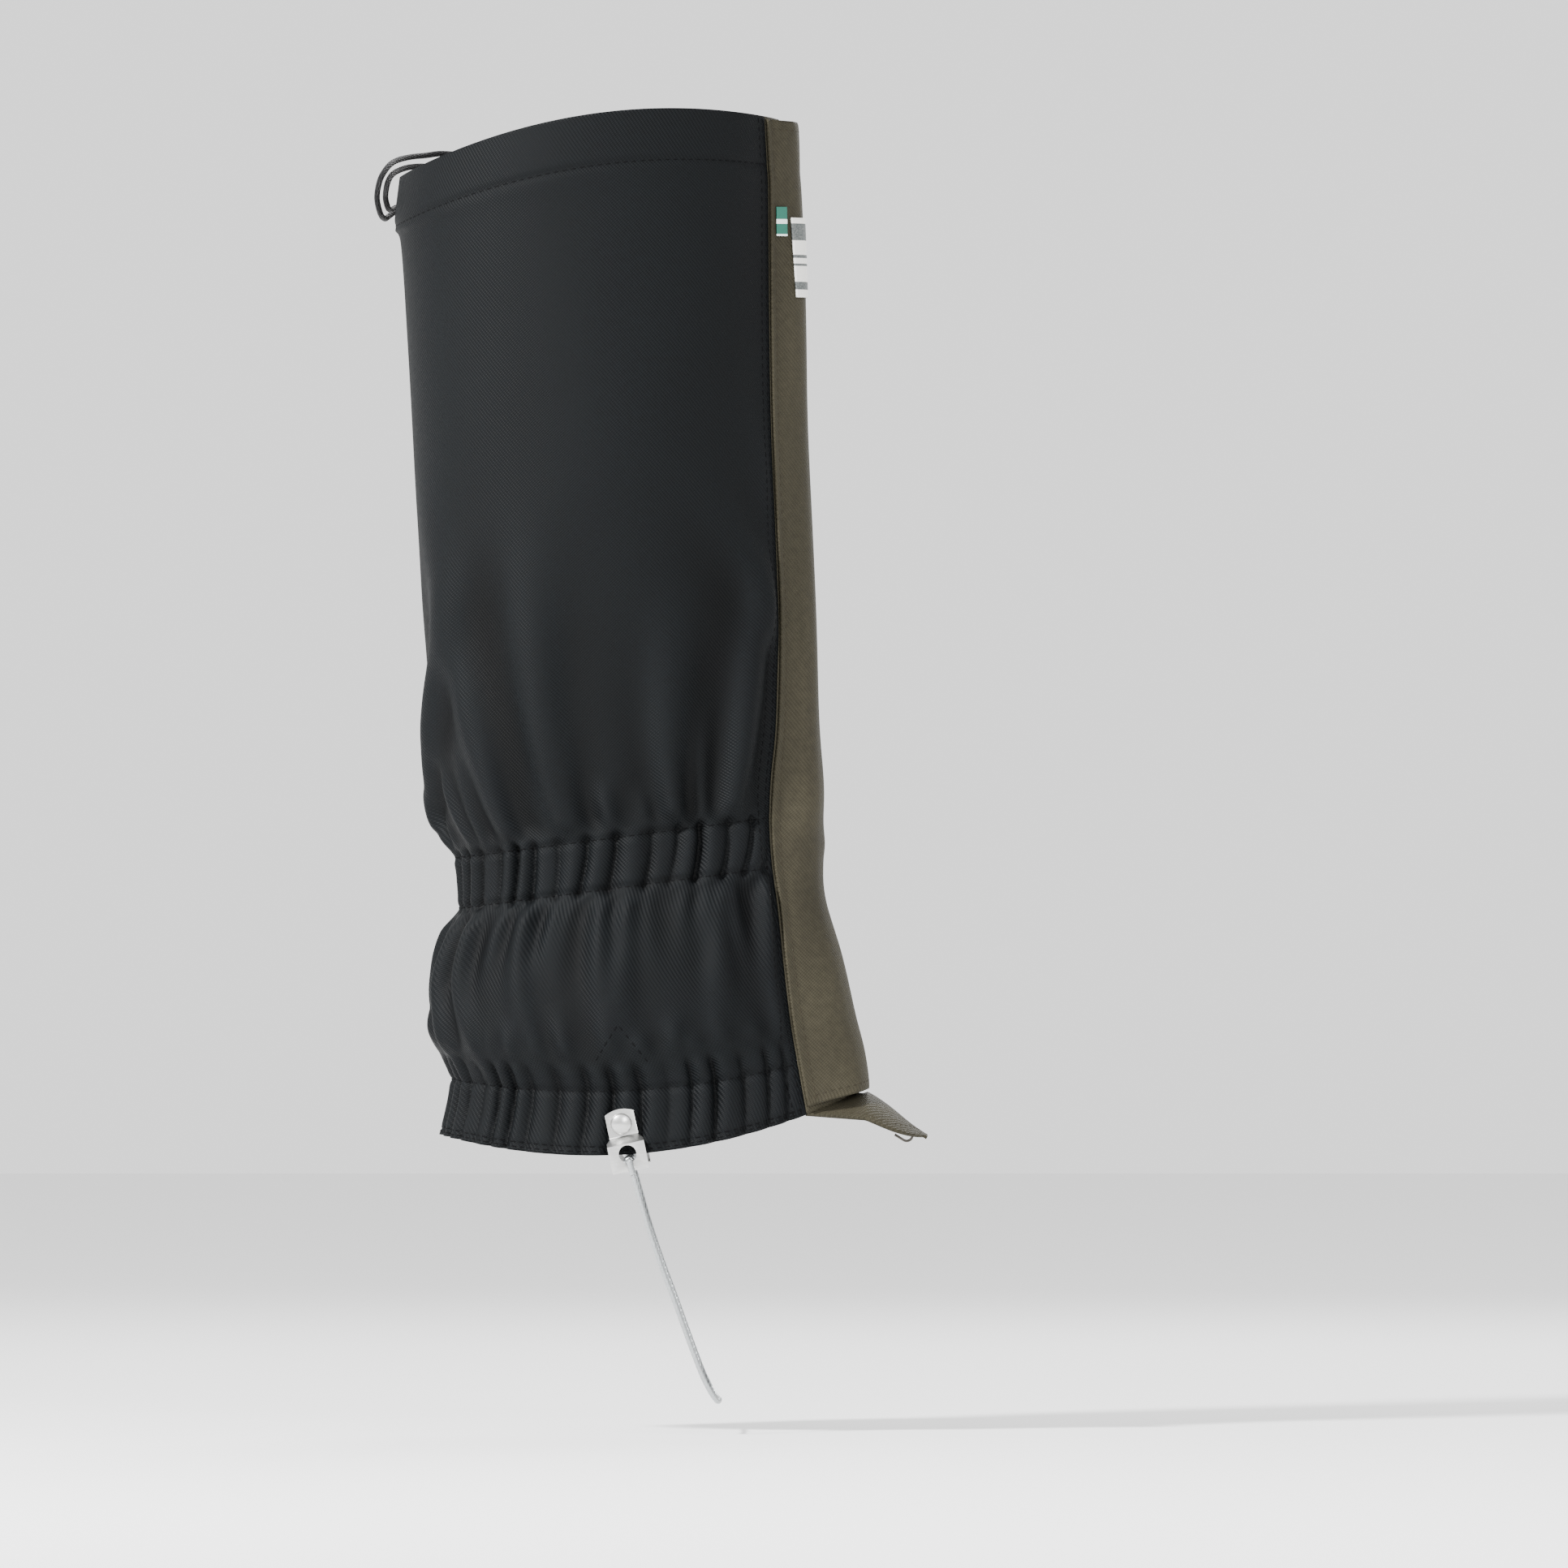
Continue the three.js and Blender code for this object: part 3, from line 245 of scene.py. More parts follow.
def plastic(name, dark, light, roughness=0.42, gloss=0.4):
    material, tree, shader = new_material(name)
    grain = noise(tree, 1400.0, 2.0)
    tree.links.new(mixed(tree, grain, dark, light), shader.inputs["Base Color"])
    shader.inputs["Roughness"].default_value = roughness
    shader.inputs["Specular IOR Level"].default_value = gloss
    bump(tree, shader, grain, 0.25, 0.0002)
    return material


def braid(name, dark, light):
    """A braided cord: two families of yarns that wind round it in opposite ways."""
    material, tree, shader = new_material(name)
    around, length, _ = weave_axes(tree)
    lead = math_node(tree, "MULTIPLY", length, 2.2)
    right = math_node(tree, "SINE", math_node(tree, "ADD", math_node(tree, "MULTIPLY", around, 8.0), lead))
    left = math_node(tree, "SINE",
                     math_node(tree, "SUBTRACT", math_node(tree, "MULTIPLY", around, 8.0), lead))
    height = math_node(tree, "MAXIMUM", right, left)
    tone = math_node(tree, "MULTIPLY_ADD", height, 0.5)
    tree.nodes[-1].inputs[2].default_value = 0.5
    tree.links.new(mixed(tree, tone, dark, light), shader.inputs["Base Color"])
    shader.inputs["Roughness"].default_value = 0.62
    shader.inputs["Specular IOR Level"].default_value = 0.25
    bump(tree, shader, height, 0.6, 0.0003)
    return material


def banded(name, ground, ink, bands):
    """A woven label: a plain ground with ink-coloured bars at the given shares of its height."""
    material, tree, shader = new_material(name)
    _, up, cloth = weave_axes(tree)
    total = None
    for low, high in bands:
        inside = math_node(tree, "MULTIPLY", math_node(tree, "GREATER_THAN", up, low),
                           math_node(tree, "LESS_THAN", up, high))
        total = inside if total is None else math_node(tree, "ADD", total, inside, clamp=True)
    weave = noise(tree, 40.0, 2.0, cloth)
    soft = math_node(tree, "MULTIPLY", total, math_node(tree, "MULTIPLY_ADD", weave, 0.4))
    tree.nodes[-2].inputs[2].default_value = 0.75
    tree.links.new(mixed(tree, soft, ground, ink), shader.inputs["Base Color"])
    shader.inputs["Roughness"].default_value = 0.7
    bump(tree, shader, noise(tree, 2600.0, 2.0), 0.3, 0.0003)
    return material


BLACK = twill("black_twill", (0.0003, 0.0004, 0.0006), (0.0024, 0.0033, 0.0041), (0.0036, 0.0048, 0.0057),
              sheen=0.0, gloss=0.1)
OLIVE = twill("olive_twill", (0.014, 0.0123, 0.0074), (0.042, 0.0375, 0.0240), (0.055, 0.0488, 0.0318),
              sheen=0.0, gloss=0.1)
THREAD_BLACK = plastic("black_thread", (0.0008, 0.0008, 0.001), (0.002, 0.002, 0.0025), 0.8, 0.08)
THREAD_OLIVE = plastic("olive_thread", (0.018, 0.015, 0.010), (0.034, 0.029, 0.019), 0.8, 0.1)
WEBBING = webbing("black_webbing", (0.0015, 0.0015, 0.0018), (0.009, 0.009, 0.010))
BRAID = braid("black_braid", (0.001, 0.001, 0.0012), (0.006, 0.006, 0.0068))
STEEL = metal("bright_steel", (0.42, 0.42, 0.41), (0.66, 0.66, 0.65), 0.2, wear=0.2)
WIRE = metal("wire_steel", (0.26, 0.28, 0.29), (0.55, 0.57, 0.57), 0.28, grain=700.0)
GUNMETAL = metal("gunmetal", (0.035, 0.033, 0.029), (0.12, 0.11, 0.098), 0.3)
NYLON = plastic("black_nylon", (0.002, 0.002, 0.0023), (0.008, 0.008, 0.009))
TAG = banded("green_tag", (0.006, 0.105, 0.072), (0.75, 0.8, 0.78), [(0.42, 0.58), (0.0, 0.07)])
LABEL = banded("white_label", (0.74, 0.73, 0.69), (0.05, 0.06, 0.06),
               [(0.72, 0.93), (0.5, 0.54), (0.4, 0.43), (0.1, 0.2)])
WHITE_FLOOR, _, floor_shader = new_material("floor")
floor_shader.inputs["Base Color"].default_value = (0.84, 0.84, 0.84, 1)
floor_shader.inputs["Roughness"].default_value = 0.9
floor.data.materials.append(WHITE_FLOOR)

# ---------------------------------------------------------------- the leg's surface, as in the CAD, in mm
SHAFT_HEIGHT = 381
SHIN_TOP = 58.8
SHIN_SLOPE = 0.039
ANKLE_HEIGHT = 110
CALF_WIDTH = 117
ANKLE_WIDTH = 86
SKIRT_WIDTH = 100
FRONT_NARROWING = 0.12
FABRIC = 1.2


def above(share):
    return ANKLE_HEIGHT + share * (SHAFT_HEIGHT - ANKLE_HEIGHT)


def below(share):
    return share * ANKLE_HEIGHT


def between(share):
    return (ANKLE_WIDTH + share * (CALF_WIDTH - ANKLE_WIDTH)) / 2


def skirt(share):
    return (ANKLE_WIDTH + share * (SKIRT_WIDTH - ANKLE_WIDTH)) / 2


def shin(z):
    return (SHIN_TOP + SHIN_SLOPE * (SHAFT_HEIGHT - z), z)


# rear x and z, front x and z, bow of the row, half width, x of the side seam
STATIONS = np.array([
    (-84.5, above(0.92), *shin(above(1)), 11.5, between(0.97), 53),
    (-86.5, above(0.852), *shin(above(0.934)), 10, between(1), 54),
    (-84.3, above(0.827), *shin(above(0.893)), 4, between(1), 54.5),
    (-82, above(0.701), *shin(above(0.701)), 0, between(1), 54.9),
    (-79.4, above(0.535), *shin(above(0.535)), 0, between(0.95), 55.8),
    (-76.6, above(0.32), *shin(above(0.32)), 0, between(0.74), 58.2),
    (-73.9, above(0.14), *shin(above(0.17)), 0, between(0.46), 57.6),
    (-70, below(1.1), *shin(above(0.09)), 0, between(0.2), 55.6),
    (-63.5, below(0.936), *shin(below(1.09)), 0, between(0.03), 54.9),
    (-62, below(0.855), *shin(below(1)), 0, between(0), 55.3),
    (-62.2, below(0.764), 68.8, below(0.918), 0, between(0.03), 56),
    (-67.5, below(0.66), 70, below(0.782), -1, skirt(0.55), 58.2),
    (-73, below(0.48), 75.2, below(0.6), -4, skirt(0.95), 60.3),
    (-72.5, below(0.32), 80.3, below(0.42), -7, skirt(1), 62.8),
    (-65, below(0.18), 84, below(0.28), -9, skirt(0.5), 65.5),
    (-69.2, -1, 87, 14, -14, skirt(0.7), 69),
])
LAST = len(STATIONS) - 1
HEM_STITCH, ANKLE_TOP, ANKLE_BOTTOM, HEM_ELASTIC = 1.0, 8.0, 10.0, 14.0


def station(v):
    """The seven station values at rows v, smooth between the listed ones."""
    v = np.asarray(v, float)
    i = np.clip(np.floor(v).astype(int), 0, LAST - 1)
    t = (v - i)[..., None]
    p, q, r, s = (STATIONS[np.clip(i + k, 0, LAST)] for k in (-1, 0, 1, 2))
    return q + 0.5 * t * (r - p + t * (2 * p - 5 * q + 4 * r - s + t * (3 * (q - r) + s - p)))


def leg(u, v, d=0.0):
    """Points of the leg tube: u round it, 0 at the shin and negative outside, v the row, d outwards."""
    u, v, d = np.broadcast_arrays(np.asarray(u, float), np.asarray(v, float), np.asarray(d, float))
    rear_x, rear_z, front_x, front_z, bow, half, _ = np.moveaxis(station(v), -1, 0)
    depth, middle = (front_x - rear_x) / 2, (front_x + rear_x) / 2
    waist = 1 - FRONT_NARROWING * np.cos(u)
    tangent_x = -depth * np.sin(u)
    tangent_y = half * (np.cos(u) * waist + FRONT_NARROWING * np.sin(u) ** 2)
    length = np.hypot(tangent_x, tangent_y)
    x = middle + depth * np.cos(u) + d * tangent_y / length
    y = half * np.sin(u) * waist - d * tangent_x / length
    along = (1 + np.cos(u)) / 2
    z = rear_z + along * (front_z - rear_z) + 4 * bow * along * (1 - along)
    return np.stack([x, y, z], -1)


def seam_angle(v):
    rear_x, _, front_x, _, _, _, seam = np.moveaxis(station(v), -1, 0)
    return np.arccos((seam - (front_x + rear_x) / 2) / ((front_x - rear_x) / 2))


def shin_angle(y, v):
    u = np.asarray(y, float) / 50 + 0 * np.asarray(v, float)
    for _ in range(8):
        u = u + (y - leg(u, v)[..., 1]) / 50
    return u


def arc(length, v):
    return length / (station(v)[..., 5] + 8)


def shin_row(z):
    rows = np.linspace(0, LAST, 4001)
    return float(np.interp(-z, -station(rows)[:, 3], rows))


def smooth(t):
    t = np.clip(t, 0, 1)
    return t * t * (3 - 2 * t)


# ---------------------------------------------------------------- folds and gathers
def wrap(angle):
    return (angle + np.pi) % (2 * np.pi) - np.pi


def bell(distance, width):
    return np.exp(-(distance / width) ** 2)


def make_folds(count, seed, reach, size):
    """Folds that leave an elastic: angle, scatter of the lean, length and depth of each."""
    random = np.random.default_rng(seed)
    start = (np.arange(count) + random.uniform(-0.34, 0.34, count)) * 2 * np.pi / count
    length = random.uniform(reach[0], reach[1], count)
    depth = random.uniform(size[0], size[1], count)
    scatter = random.uniform(-0.0012, 0.0012, count)
    return start, scatter, length, depth


STEEPEST_LEAN = 0.008       # radians of the way round for each mm of height
MEAN_RADIUS = 62
FOLD_LIMIT = 5.2
LONG_FOLDS = make_folds(13, 4, (90, 165), (5.2, 8.6))
SHORT_FOLDS = make_folds(33, 9, (22, 70), (1.8, 3.8))
BULGE_TOP = make_folds(34, 12, (20, 50), (2.0, 4.2))
BULGE_LONG = make_folds(17, 21, (60, 80), (4.2, 7.0))
BULGE_FOOT = make_folds(40, 33, (12, 34), (1.6, 3.6))


def fan(u, height, folds, first, spread, lean):
    """Height of a set of folds that leave a gathered line and widen as they go."""
    total = np.zeros_like(u)
    for start, scatter, length, depth in zip(*folds):
        turn = -lean * math.cos(start) / (abs(math.sin(start)) + 0.25)
        slope = np.clip(turn, -STEEPEST_LEAN, STEEPEST_LEAN) * np.sign(math.sin(start))
        middle = start + (slope + scatter) * np.maximum(height, 0)
        width = first + spread * np.maximum(height, 0)
        rise = smooth(height / 9) * (1 - smooth((height - 0.35 * length) / (0.65 * length)))
        away = wrap(u - middle) * MEAN_RADIUS
        total += depth * rise * (bell(away, width) - 0.45 * bell(away, 2.1 * width))
    return total


def pucker(u, v, count, seed, lean):
    """Close gathers between stitch lines: round tops with sharp creases between them."""
    phase = count * u + 0.9 * np.sin(3 * u + seed) + 0.7 * np.sin(7 * u + 2 * seed) + lean * v
    phase += 0.5 * np.sin(13 * u + 3 * seed + 0.8 * v)
    size = 0.8 + 0.28 * np.sin(11 * u + seed) + 0.22 * np.sin(17 * u + 2 * seed)
    return size * (2 * np.abs(np.sin(phase / 2)) ** 0.7 - 1.3)


def relief(u, v):
    """How far the gathered black cloth stands proud of the smooth leg, in mm."""
    here = leg(u, v)[..., 2]
    over_ankle = here - leg(u, ANKLE_TOP)[..., 2]
    under_ankle = leg(u, ANKLE_BOTTOM)[..., 2] - here
    over_hem = here - leg(u, HEM_ELASTIC - 0.5)[..., 2]
    total = fan(u, over_ankle, LONG_FOLDS, 4.4, 0.075, 0.0070)
    total += fan(u, over_ankle, SHORT_FOLDS, 3.2, 0.06, 0.004)
    total += fan(u, under_ankle, BULGE_TOP, 3.0, 0.06, 0.001)
    total += fan(u, under_ankle, BULGE_LONG, 4.2, 0.02, -0.0014) * (under_ankle > 0)
    total += fan(u, over_hem, BULGE_FOOT, 2.8, 0.07, 0.001)
    ankle = smooth((v - 7.72) / 0.28) * (1 - smooth((v - 10) / 0.3))
    total += 2.3 * ankle * pucker(u, v, 39, 1.3, 0.9)
    hem = smooth((v - 13.3) / 0.4) * (1 - 0.45 * smooth((v - 14.2) / 0.8))
    total += 2.1 * hem * pucker(u, v, 47, 2.1, 0.5)
    total += 0.35 * np.sin(5 * u + 0.6 * v) * smooth(v / 3)
    for row, deep, wide in ((HEM_STITCH, 0.55, 1.3), (ANKLE_TOP, 1.1, 1.6), (ANKLE_BOTTOM, 1.1, 1.6),
                            (HEM_ELASTIC, 0.9, 1.4), (14.84, 0.5, 0.9)):
        total -= deep * bell(here - leg(u, row)[..., 2], wide)
    seam = np.abs(wrap(u)) - seam_angle(v)
    pinned = smooth(seam * (station(v)[..., 5] + 8) / 7)
    return FOLD_LIMIT * np.tanh(total / FOLD_LIMIT) * (0.12 + 0.88 * pinned)


def soft(u, v):
    """The slight unevenness of the olive cloth."""
    return 0.35 * np.sin(1.1 * v + 2 * u) + 0.3 * np.sin(2.7 * v + 5 * u + 1) + 0.3 * np.sin(9 * u + 0.7 * v)


# ---------------------------------------------------------------- mesh helpers
def mesh_object(name, points, faces, material, weave=None, smooth_shade=True):
    """A mesh from points in mm. faces holds quads or triangles as rows of one array, or a list of them."""
    mesh = bpy.data.meshes.new(name)
    points = np.asarray(points, float) * MM
    faces = [np.asarray(part, np.int64) for part in (faces if isinstance(faces, list) else [faces])]
    loops = np.concatenate([part.ravel() for part in faces])
    sizes = np.concatenate([np.full(len(part), part.shape[1]) for part in faces])
    mesh.vertices.add(len(points))
    mesh.vertices.foreach_set("co", points.ravel())
    mesh.loops.add(len(loops))
    mesh.loops.foreach_set("vertex_index", loops.astype(np.int32))
    mesh.polygons.add(len(sizes))
    mesh.polygons.foreach_set("loop_start", np.concatenate([[0], np.cumsum(sizes)[:-1]]).astype(np.int32))
    mesh.polygons.foreach_set("use_smooth", np.full(len(sizes), smooth_shade))
    mesh.update(calc_edges=True)
    if weave is not None:
        attribute = mesh.attributes.new("weave", "FLOAT_VECTOR", "POINT")
        attribute.data.foreach_set("vector", np.asarray(weave, np.float32).ravel())
    mesh.validate()
    mesh.materials.append(material)
    made = bpy.data.objects.new(name, mesh)
    bpy.context.collection.objects.link(made)
    return made


def skin(name, outer, inner, material, weave):
    """A closed cloth between two grids of points of the same layout, rows first."""
    rows, cols = outer.shape[:2]
    size = rows * cols
    k = np.arange(size).reshape(rows, cols)
    a, b, c, d = k[:-1, :-1].ravel(), k[1:, :-1].ravel(), k[1:, 1:].ravel(), k[:-1, 1:].ravel()
    parts = [np.stack([a, b, c, d], 1), np.stack([a, d, c, b], 1) + size]
    for edge, flip in ((k[:, 0], False), (k[:, -1], True), (k[0], True), (k[-1], False)):
        one, two = edge[:-1], edge[1:]
        side = np.stack([one, one + size, two + size, two], 1)
        parts.append(side[:, ::-1] if flip else side)
    points = np.concatenate([outer.reshape(-1, 3), inner.reshape(-1, 3)])
    weave = np.concatenate([weave.reshape(-1, 3)] * 2)
    return mesh_object(name, points, np.concatenate(parts), material, weave)


def even_rows(top, bottom, count):
    """Rows from top to bottom that are evenly spaced in height."""
    rows = np.linspace(top, bottom, 2001)
    heights = station(rows)[:, [1, 3]].sum(1)
    return np.interp(np.linspace(heights[0], heights[-1], count), heights[::-1], rows[::-1])


def cloth(name, start, end, top, bottom, size, offsets, material, shape=None):
    """A sewn cloth on the leg between two angles and two rows, with its thickness as two offsets."""
    cols, count = size
    v = even_rows(top, bottom, count)[:, None]
    share = np.linspace(0, 1, cols)[None, :]
    u = start(v) + share * (end(v) - start(v))
    v = v + 0 * u
    lift = shape(u, v) if shape else 0
    inner, outer = (offset(share, v, u) if callable(offset) else offset for offset in offsets)
    face = leg(u, v, outer + lift)
    back = leg(u, v, inner + lift)
    flat = leg(u, v)
    steps = np.linalg.norm(np.diff(flat, axis=1), axis=2)
    along = np.concatenate([np.zeros((count, 1)), np.cumsum(steps, 1)], 1)
    along -= along[:, -1:] / 2
    weave = np.stack([along, flat[..., 2], 0 * along], -1)
    made = skin(name, face, back, material, weave)
    # the fold height is stored for the twill material, which paints shade into the creases from it
    depth = made.data.attributes.new("fold", "FLOAT", "POINT")
    depth.data.foreach_set("value", np.tile((lift + 0 * u).ravel(), 2).astype(np.float32))
    return made


def template_capsule(sides=6):
    """A short round-ended thread of unit length along X and unit radius across it."""
    points = []
    profile = [(-0.5, 0.0), (-0.42, 0.62), (-0.26, 0.95), (0.0, 1.0), (0.26, 0.95), (0.42, 0.62), (0.5, 0.0)]
    for x, radius in profile[1:-1]:
        for i in range(sides):
            angle = 2 * math.pi * i / sides
            points.append((x, radius * math.cos(angle), radius * math.sin(angle)))
    count = len(profile) - 2
    points += [(-0.5, 0, 0), (0.5, 0, 0)]
    quads, ends = [], []
    for ring in range(count - 1):
        for i in range(sides):
            a, b = ring * sides + i, ring * sides + (i + 1) % sides
            quads.append((a, a + sides, b + sides, b))
    for i in range(sides):
        ends.append((count * sides, i, (i + 1) % sides))
        last = (count - 1) * sides
        ends.append((count * sides + 1, last + (i + 1) % sides, last + i))
    return np.array(points, float), np.array(quads), np.array(ends)


CAPSULE = template_capsule()


def stitches(name, lines, material, length=2.4, pitch=3.3, radius=0.3, sink=0.12):
    """Separate threads along lines of (points, normals), each lying on the cloth."""
    template, quads, ends = CAPSULE
    points, all_quads, all_ends, base = [], [], [], 0
    for line, normals in lines:
        steps = np.concatenate([[0], np.cumsum(np.linalg.norm(np.diff(line, axis=0), axis=1))])
        count = max(int(steps[-1] / pitch), 1)
        middle = (np.arange(count) + 0.5) * steps[-1] / count
        at = lambda where: np.stack([np.interp(where, steps, line[:, k]) for k in range(3)], 1)
        place, ahead = at(middle), at(np.minimum(middle + 0.4, steps[-1])) - at(np.maximum(middle - 0.4, 0))
        ahead /= np.linalg.norm(ahead, axis=1)[:, None]
        out = np.stack([np.interp(middle, steps, normals[:, k]) for k in range(3)], 1)
        side = np.cross(out, ahead)
        side /= np.linalg.norm(side, axis=1)[:, None]
        out = np.cross(ahead, side)
        bend = -sink - 0.25 * (2 * template[:, 0]) ** 4 * radius
        local = (ahead[:, None] * template[None, :, :1] * length
                 + side[:, None] * template[None, :, 1:2] * radius
                 + out[:, None] * (template[None, :, 2:] * radius + bend[None, :, None]))
        points.append((place[:, None] + local).reshape(-1, 3))
        shift = base + np.arange(count)[:, None, None] * len(template)
        all_quads.append((quads[None] + shift).reshape(-1, 4))
        all_ends.append((ends[None] + shift).reshape(-1, 3))
        base += count * len(template)
    faces = [np.concatenate(all_quads), np.concatenate(all_ends)]
    return mesh_object(name, np.concatenate(points), faces, material)


def stitch_line(u, v, offset=0.0, shape=None):
    """A line of points on the leg with its outward directions."""
    u, v = np.broadcast_arrays(np.asarray(u, float), np.asarray(v, float))
    lift = shape(u, v) if shape else 0
    points = leg(u, v, offset + lift)
    return points, leg(u, v, 1) - leg(u, v, 0)


def tube(name, path, radius, material, sides=12, twist=0.0, lobes=0, depth=0.0, steps=None):
    """A cord along points in mm, closed at both ends, with optional twisted strands."""
    path = np.asarray(path, float)
    smooth_path = centripetal(path, steps) if steps else path
    tangent = np.gradient(smooth_path, axis=0)
    tangent /= np.linalg.norm(tangent, axis=1)[:, None]
    side = np.cross(tangent[0], (0.3, 0.2, 0.9))
    sides_list = []
    for t in tangent:
        side = side - t * side.dot(t)
        side = side / np.linalg.norm(side)
        sides_list.append(side)
    side = np.array(sides_list)
    up = np.cross(tangent, side)
    length = np.concatenate([[0], np.cumsum(np.linalg.norm(np.diff(smooth_path, axis=0), axis=1))])
    angle = np.linspace(0, 2 * np.pi, sides, endpoint=False)
    turned = angle[None, :] + twist * length[:, None]
    swell = radius * (1 - depth + depth * np.abs(np.cos(lobes * angle / 2))[None, :]) + 0 * turned
    rings = (smooth_path[:, None] + side[:, None] * (np.cos(turned) * swell)[..., None]
             + up[:, None] * (np.sin(turned) * swell)[..., None])
    count = len(smooth_path)
    k = np.arange(count * sides).reshape(count, sides)
    nxt = np.roll(k, -1, 1)
    quads = np.stack([k[:-1].ravel(), nxt[:-1].ravel(), nxt[1:].ravel(), k[1:].ravel()], 1)
    caps = np.concatenate([np.stack([np.full(sides, count * sides), nxt[0], k[0]], 1),
                           np.stack([np.full(sides, count * sides + 1), k[-1], nxt[-1]], 1)])
    points = np.concatenate([rings.reshape(-1, 3), smooth_path[:1], smooth_path[-1:]])
    around = np.broadcast_to(angle[None, :], rings.shape[:2]).ravel()
    weave = np.stack([around, np.repeat(length, sides), 0 * around], 1)
    weave = np.concatenate([weave, np.zeros((2, 3))])
    made = mesh_object(name, points, [quads, caps], material, weave)
    return made, smooth_path, length[-1]


def centripetal(points, steps):
    """A centripetal Catmull-Rom curve through the points, evenly sampled."""
    points = np.asarray(points, float)
    padded = np.concatenate([[2 * points[0] - points[1]], points, [2 * points[-1] - points[-2]]])
    fine = []
    for i in range(1, len(padded) - 2):
        p0, p1, p2, p3 = padded[i - 1:i + 3]
        t0 = 0.0
        t1 = t0 + np.linalg.norm(p1 - p0) ** 0.5
        t2 = t1 + np.linalg.norm(p2 - p1) ** 0.5
        t3 = t2 + np.linalg.norm(p3 - p2) ** 0.5
        t = np.linspace(t1, t2, 12, endpoint=False)[:, None]
        a1 = (t1 - t) / (t1 - t0) * p0 + (t - t0) / (t1 - t0) * p1
        a2 = (t2 - t) / (t2 - t1) * p1 + (t - t1) / (t2 - t1) * p2
        a3 = (t3 - t) / (t3 - t2) * p2 + (t - t2) / (t3 - t2) * p3
        b1 = (t2 - t) / (t2 - t0) * a1 + (t - t0) / (t2 - t0) * a2
        b2 = (t3 - t) / (t3 - t1) * a2 + (t - t1) / (t3 - t1) * a3
        fine.append((t2 - t) / (t2 - t1) * b1 + (t - t1) / (t2 - t1) * b2)
    fine = np.concatenate(fine + [points[-1:]])
    reach = np.concatenate([[0], np.cumsum(np.linalg.norm(np.diff(fine, axis=0), axis=1))])
    where = np.linspace(0, reach[-1], steps)
    return np.stack([np.interp(where, reach, fine[:, k]) for k in range(3)], 1)


HALF_WIRE = [
    (3.909, 55.244, -15.656), (6.6, 54.8, -25.3), (9.5, 53.4, -35.4), (14.3, 51.4, -49.7),
    (19.5, 49.2, -63.7), (23.2, 47.4, -74), (26.5, 45.6, -83), (29.8, 43, -91.5),
    (32.8, 38.8, -97.5), (34.8, 33, -100.6), (35.6, 26, -101.3), (36, 13, -101.3),
]
WIRE_POINTS = [(x, -y, z) for x, y, z in HALF_WIRE] + [(36.1, 0, -101.3)] + HALF_WIRE[::-1]
wire, wire_path, _ = tube("instep_wire_rope", WIRE_POINTS, 0.9, WIRE, sides=24, twist=0.42, lobes=6,
                          depth=0.16, steps=620)
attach(wire, "instep_wire")
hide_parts("instep_wire")

DRAWCORD = [
    (-44.8, 54.4, 365.9), (-46.6, 60, 365.3), (-51.5, 63, 361), (-58, 62.3, 354.5), (-65.2, 57.4, 350.4),
    (-69.5, 53.1, 350), (-80.9, 41.9, 350), (-85.3, 34.5, 348.3), (-88.6, 24.5, 345.6), (-90.4, 13, 344.2),
    (-92, 3.5, 346.5), (-93, 0, 352), (-92, 1, 358), (-89.5, 8.5, 363), (-86.5, 19.5, 366),
    (-81.5, 31, 367.8), (-75, 41, 368.8), (-69, 46.3, 369.6), (-63.5, 49.5, 368.8), (-61, 50.6, 365.8),
    (-63.3, 49.6, 362.6), (-68, 46.5, 362.6), (-74, 41, 364.4), (-80.3, 31, 364.2), (-85.2, 19.8, 362.5),
    (-88, 9.5, 360), (-89.4, 2.5, 356), (-89.8, 1, 352), (-89.2, 4, 348.8), (-88.2, 13, 347.5),
    (-86.3, 24.3, 348.6), (-83, 33.5, 349.8), (-79.1, 40.1, 350), (-67.7, 51.3, 350), (-63.4, 55.5, 350.6),
    (-58.6, 57.6, 355.5), (-55.8, 56, 361), (-54, 52.2, 363), (-53.6, 50.8, 363.1),
]
lace, lace_path, lace_length = tube("drawcord_braid", DRAWCORD, 1.1, BRAID, sides=16, steps=700)
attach(lace, "gaiter_shell")
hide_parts("drawcord")


# ---------------------------------------------------------------- black cloth
SEAM_GAP = 0.06            # the panels meet at the seam; the CAD keeps them half a millimetre apart


def panel_start(v):
    return seam_angle(v) + arc(SEAM_GAP, v) / 2


def panel_end(v):
    return 2 * np.pi - panel_start(v)


COLS, ROWS = 420, 400
main = cloth("main_panel_cloth", panel_start, panel_end, 0, LAST, (COLS, ROWS), (-FABRIC, 0.0), BLACK, relief)
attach(main, "gaiter_shell")
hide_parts("main_panel")


def facing(v):
    return -1.55 - 2.9 * np.sin(np.pi * np.minimum(v, 1))


tunnel = cloth("top_hem_facing", panel_start, panel_end, 0.03, 0.97, (160, 24),
               (lambda share, v, u: facing(v) - 0.8, lambda share, v, u: facing(v)), BLACK, relief)
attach(tunnel, "gaiter_shell")
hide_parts("top_hem_tunnel")

for name, top, bottom, replaced in (("ankle_band", ANKLE_TOP + 0.02, ANKLE_BOTTOM - 0.02, "ankle_elastic"),
                                    ("hem_band", HEM_ELASTIC - 0.48, HEM_ELASTIC - 0.02, "hem_elastic")):
    band = cloth(name, panel_start, panel_end, top, bottom, (300, 16), (-2.55, -1.55), WEBBING, relief)
    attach(band, "gaiter_shell")
    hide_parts(replaced)


def side_row(z):
    rows = np.linspace(13.5, LAST, 800)
    return float(np.interp(-z, -leg(np.full(800, np.pi / 2), rows)[:, 2], rows))


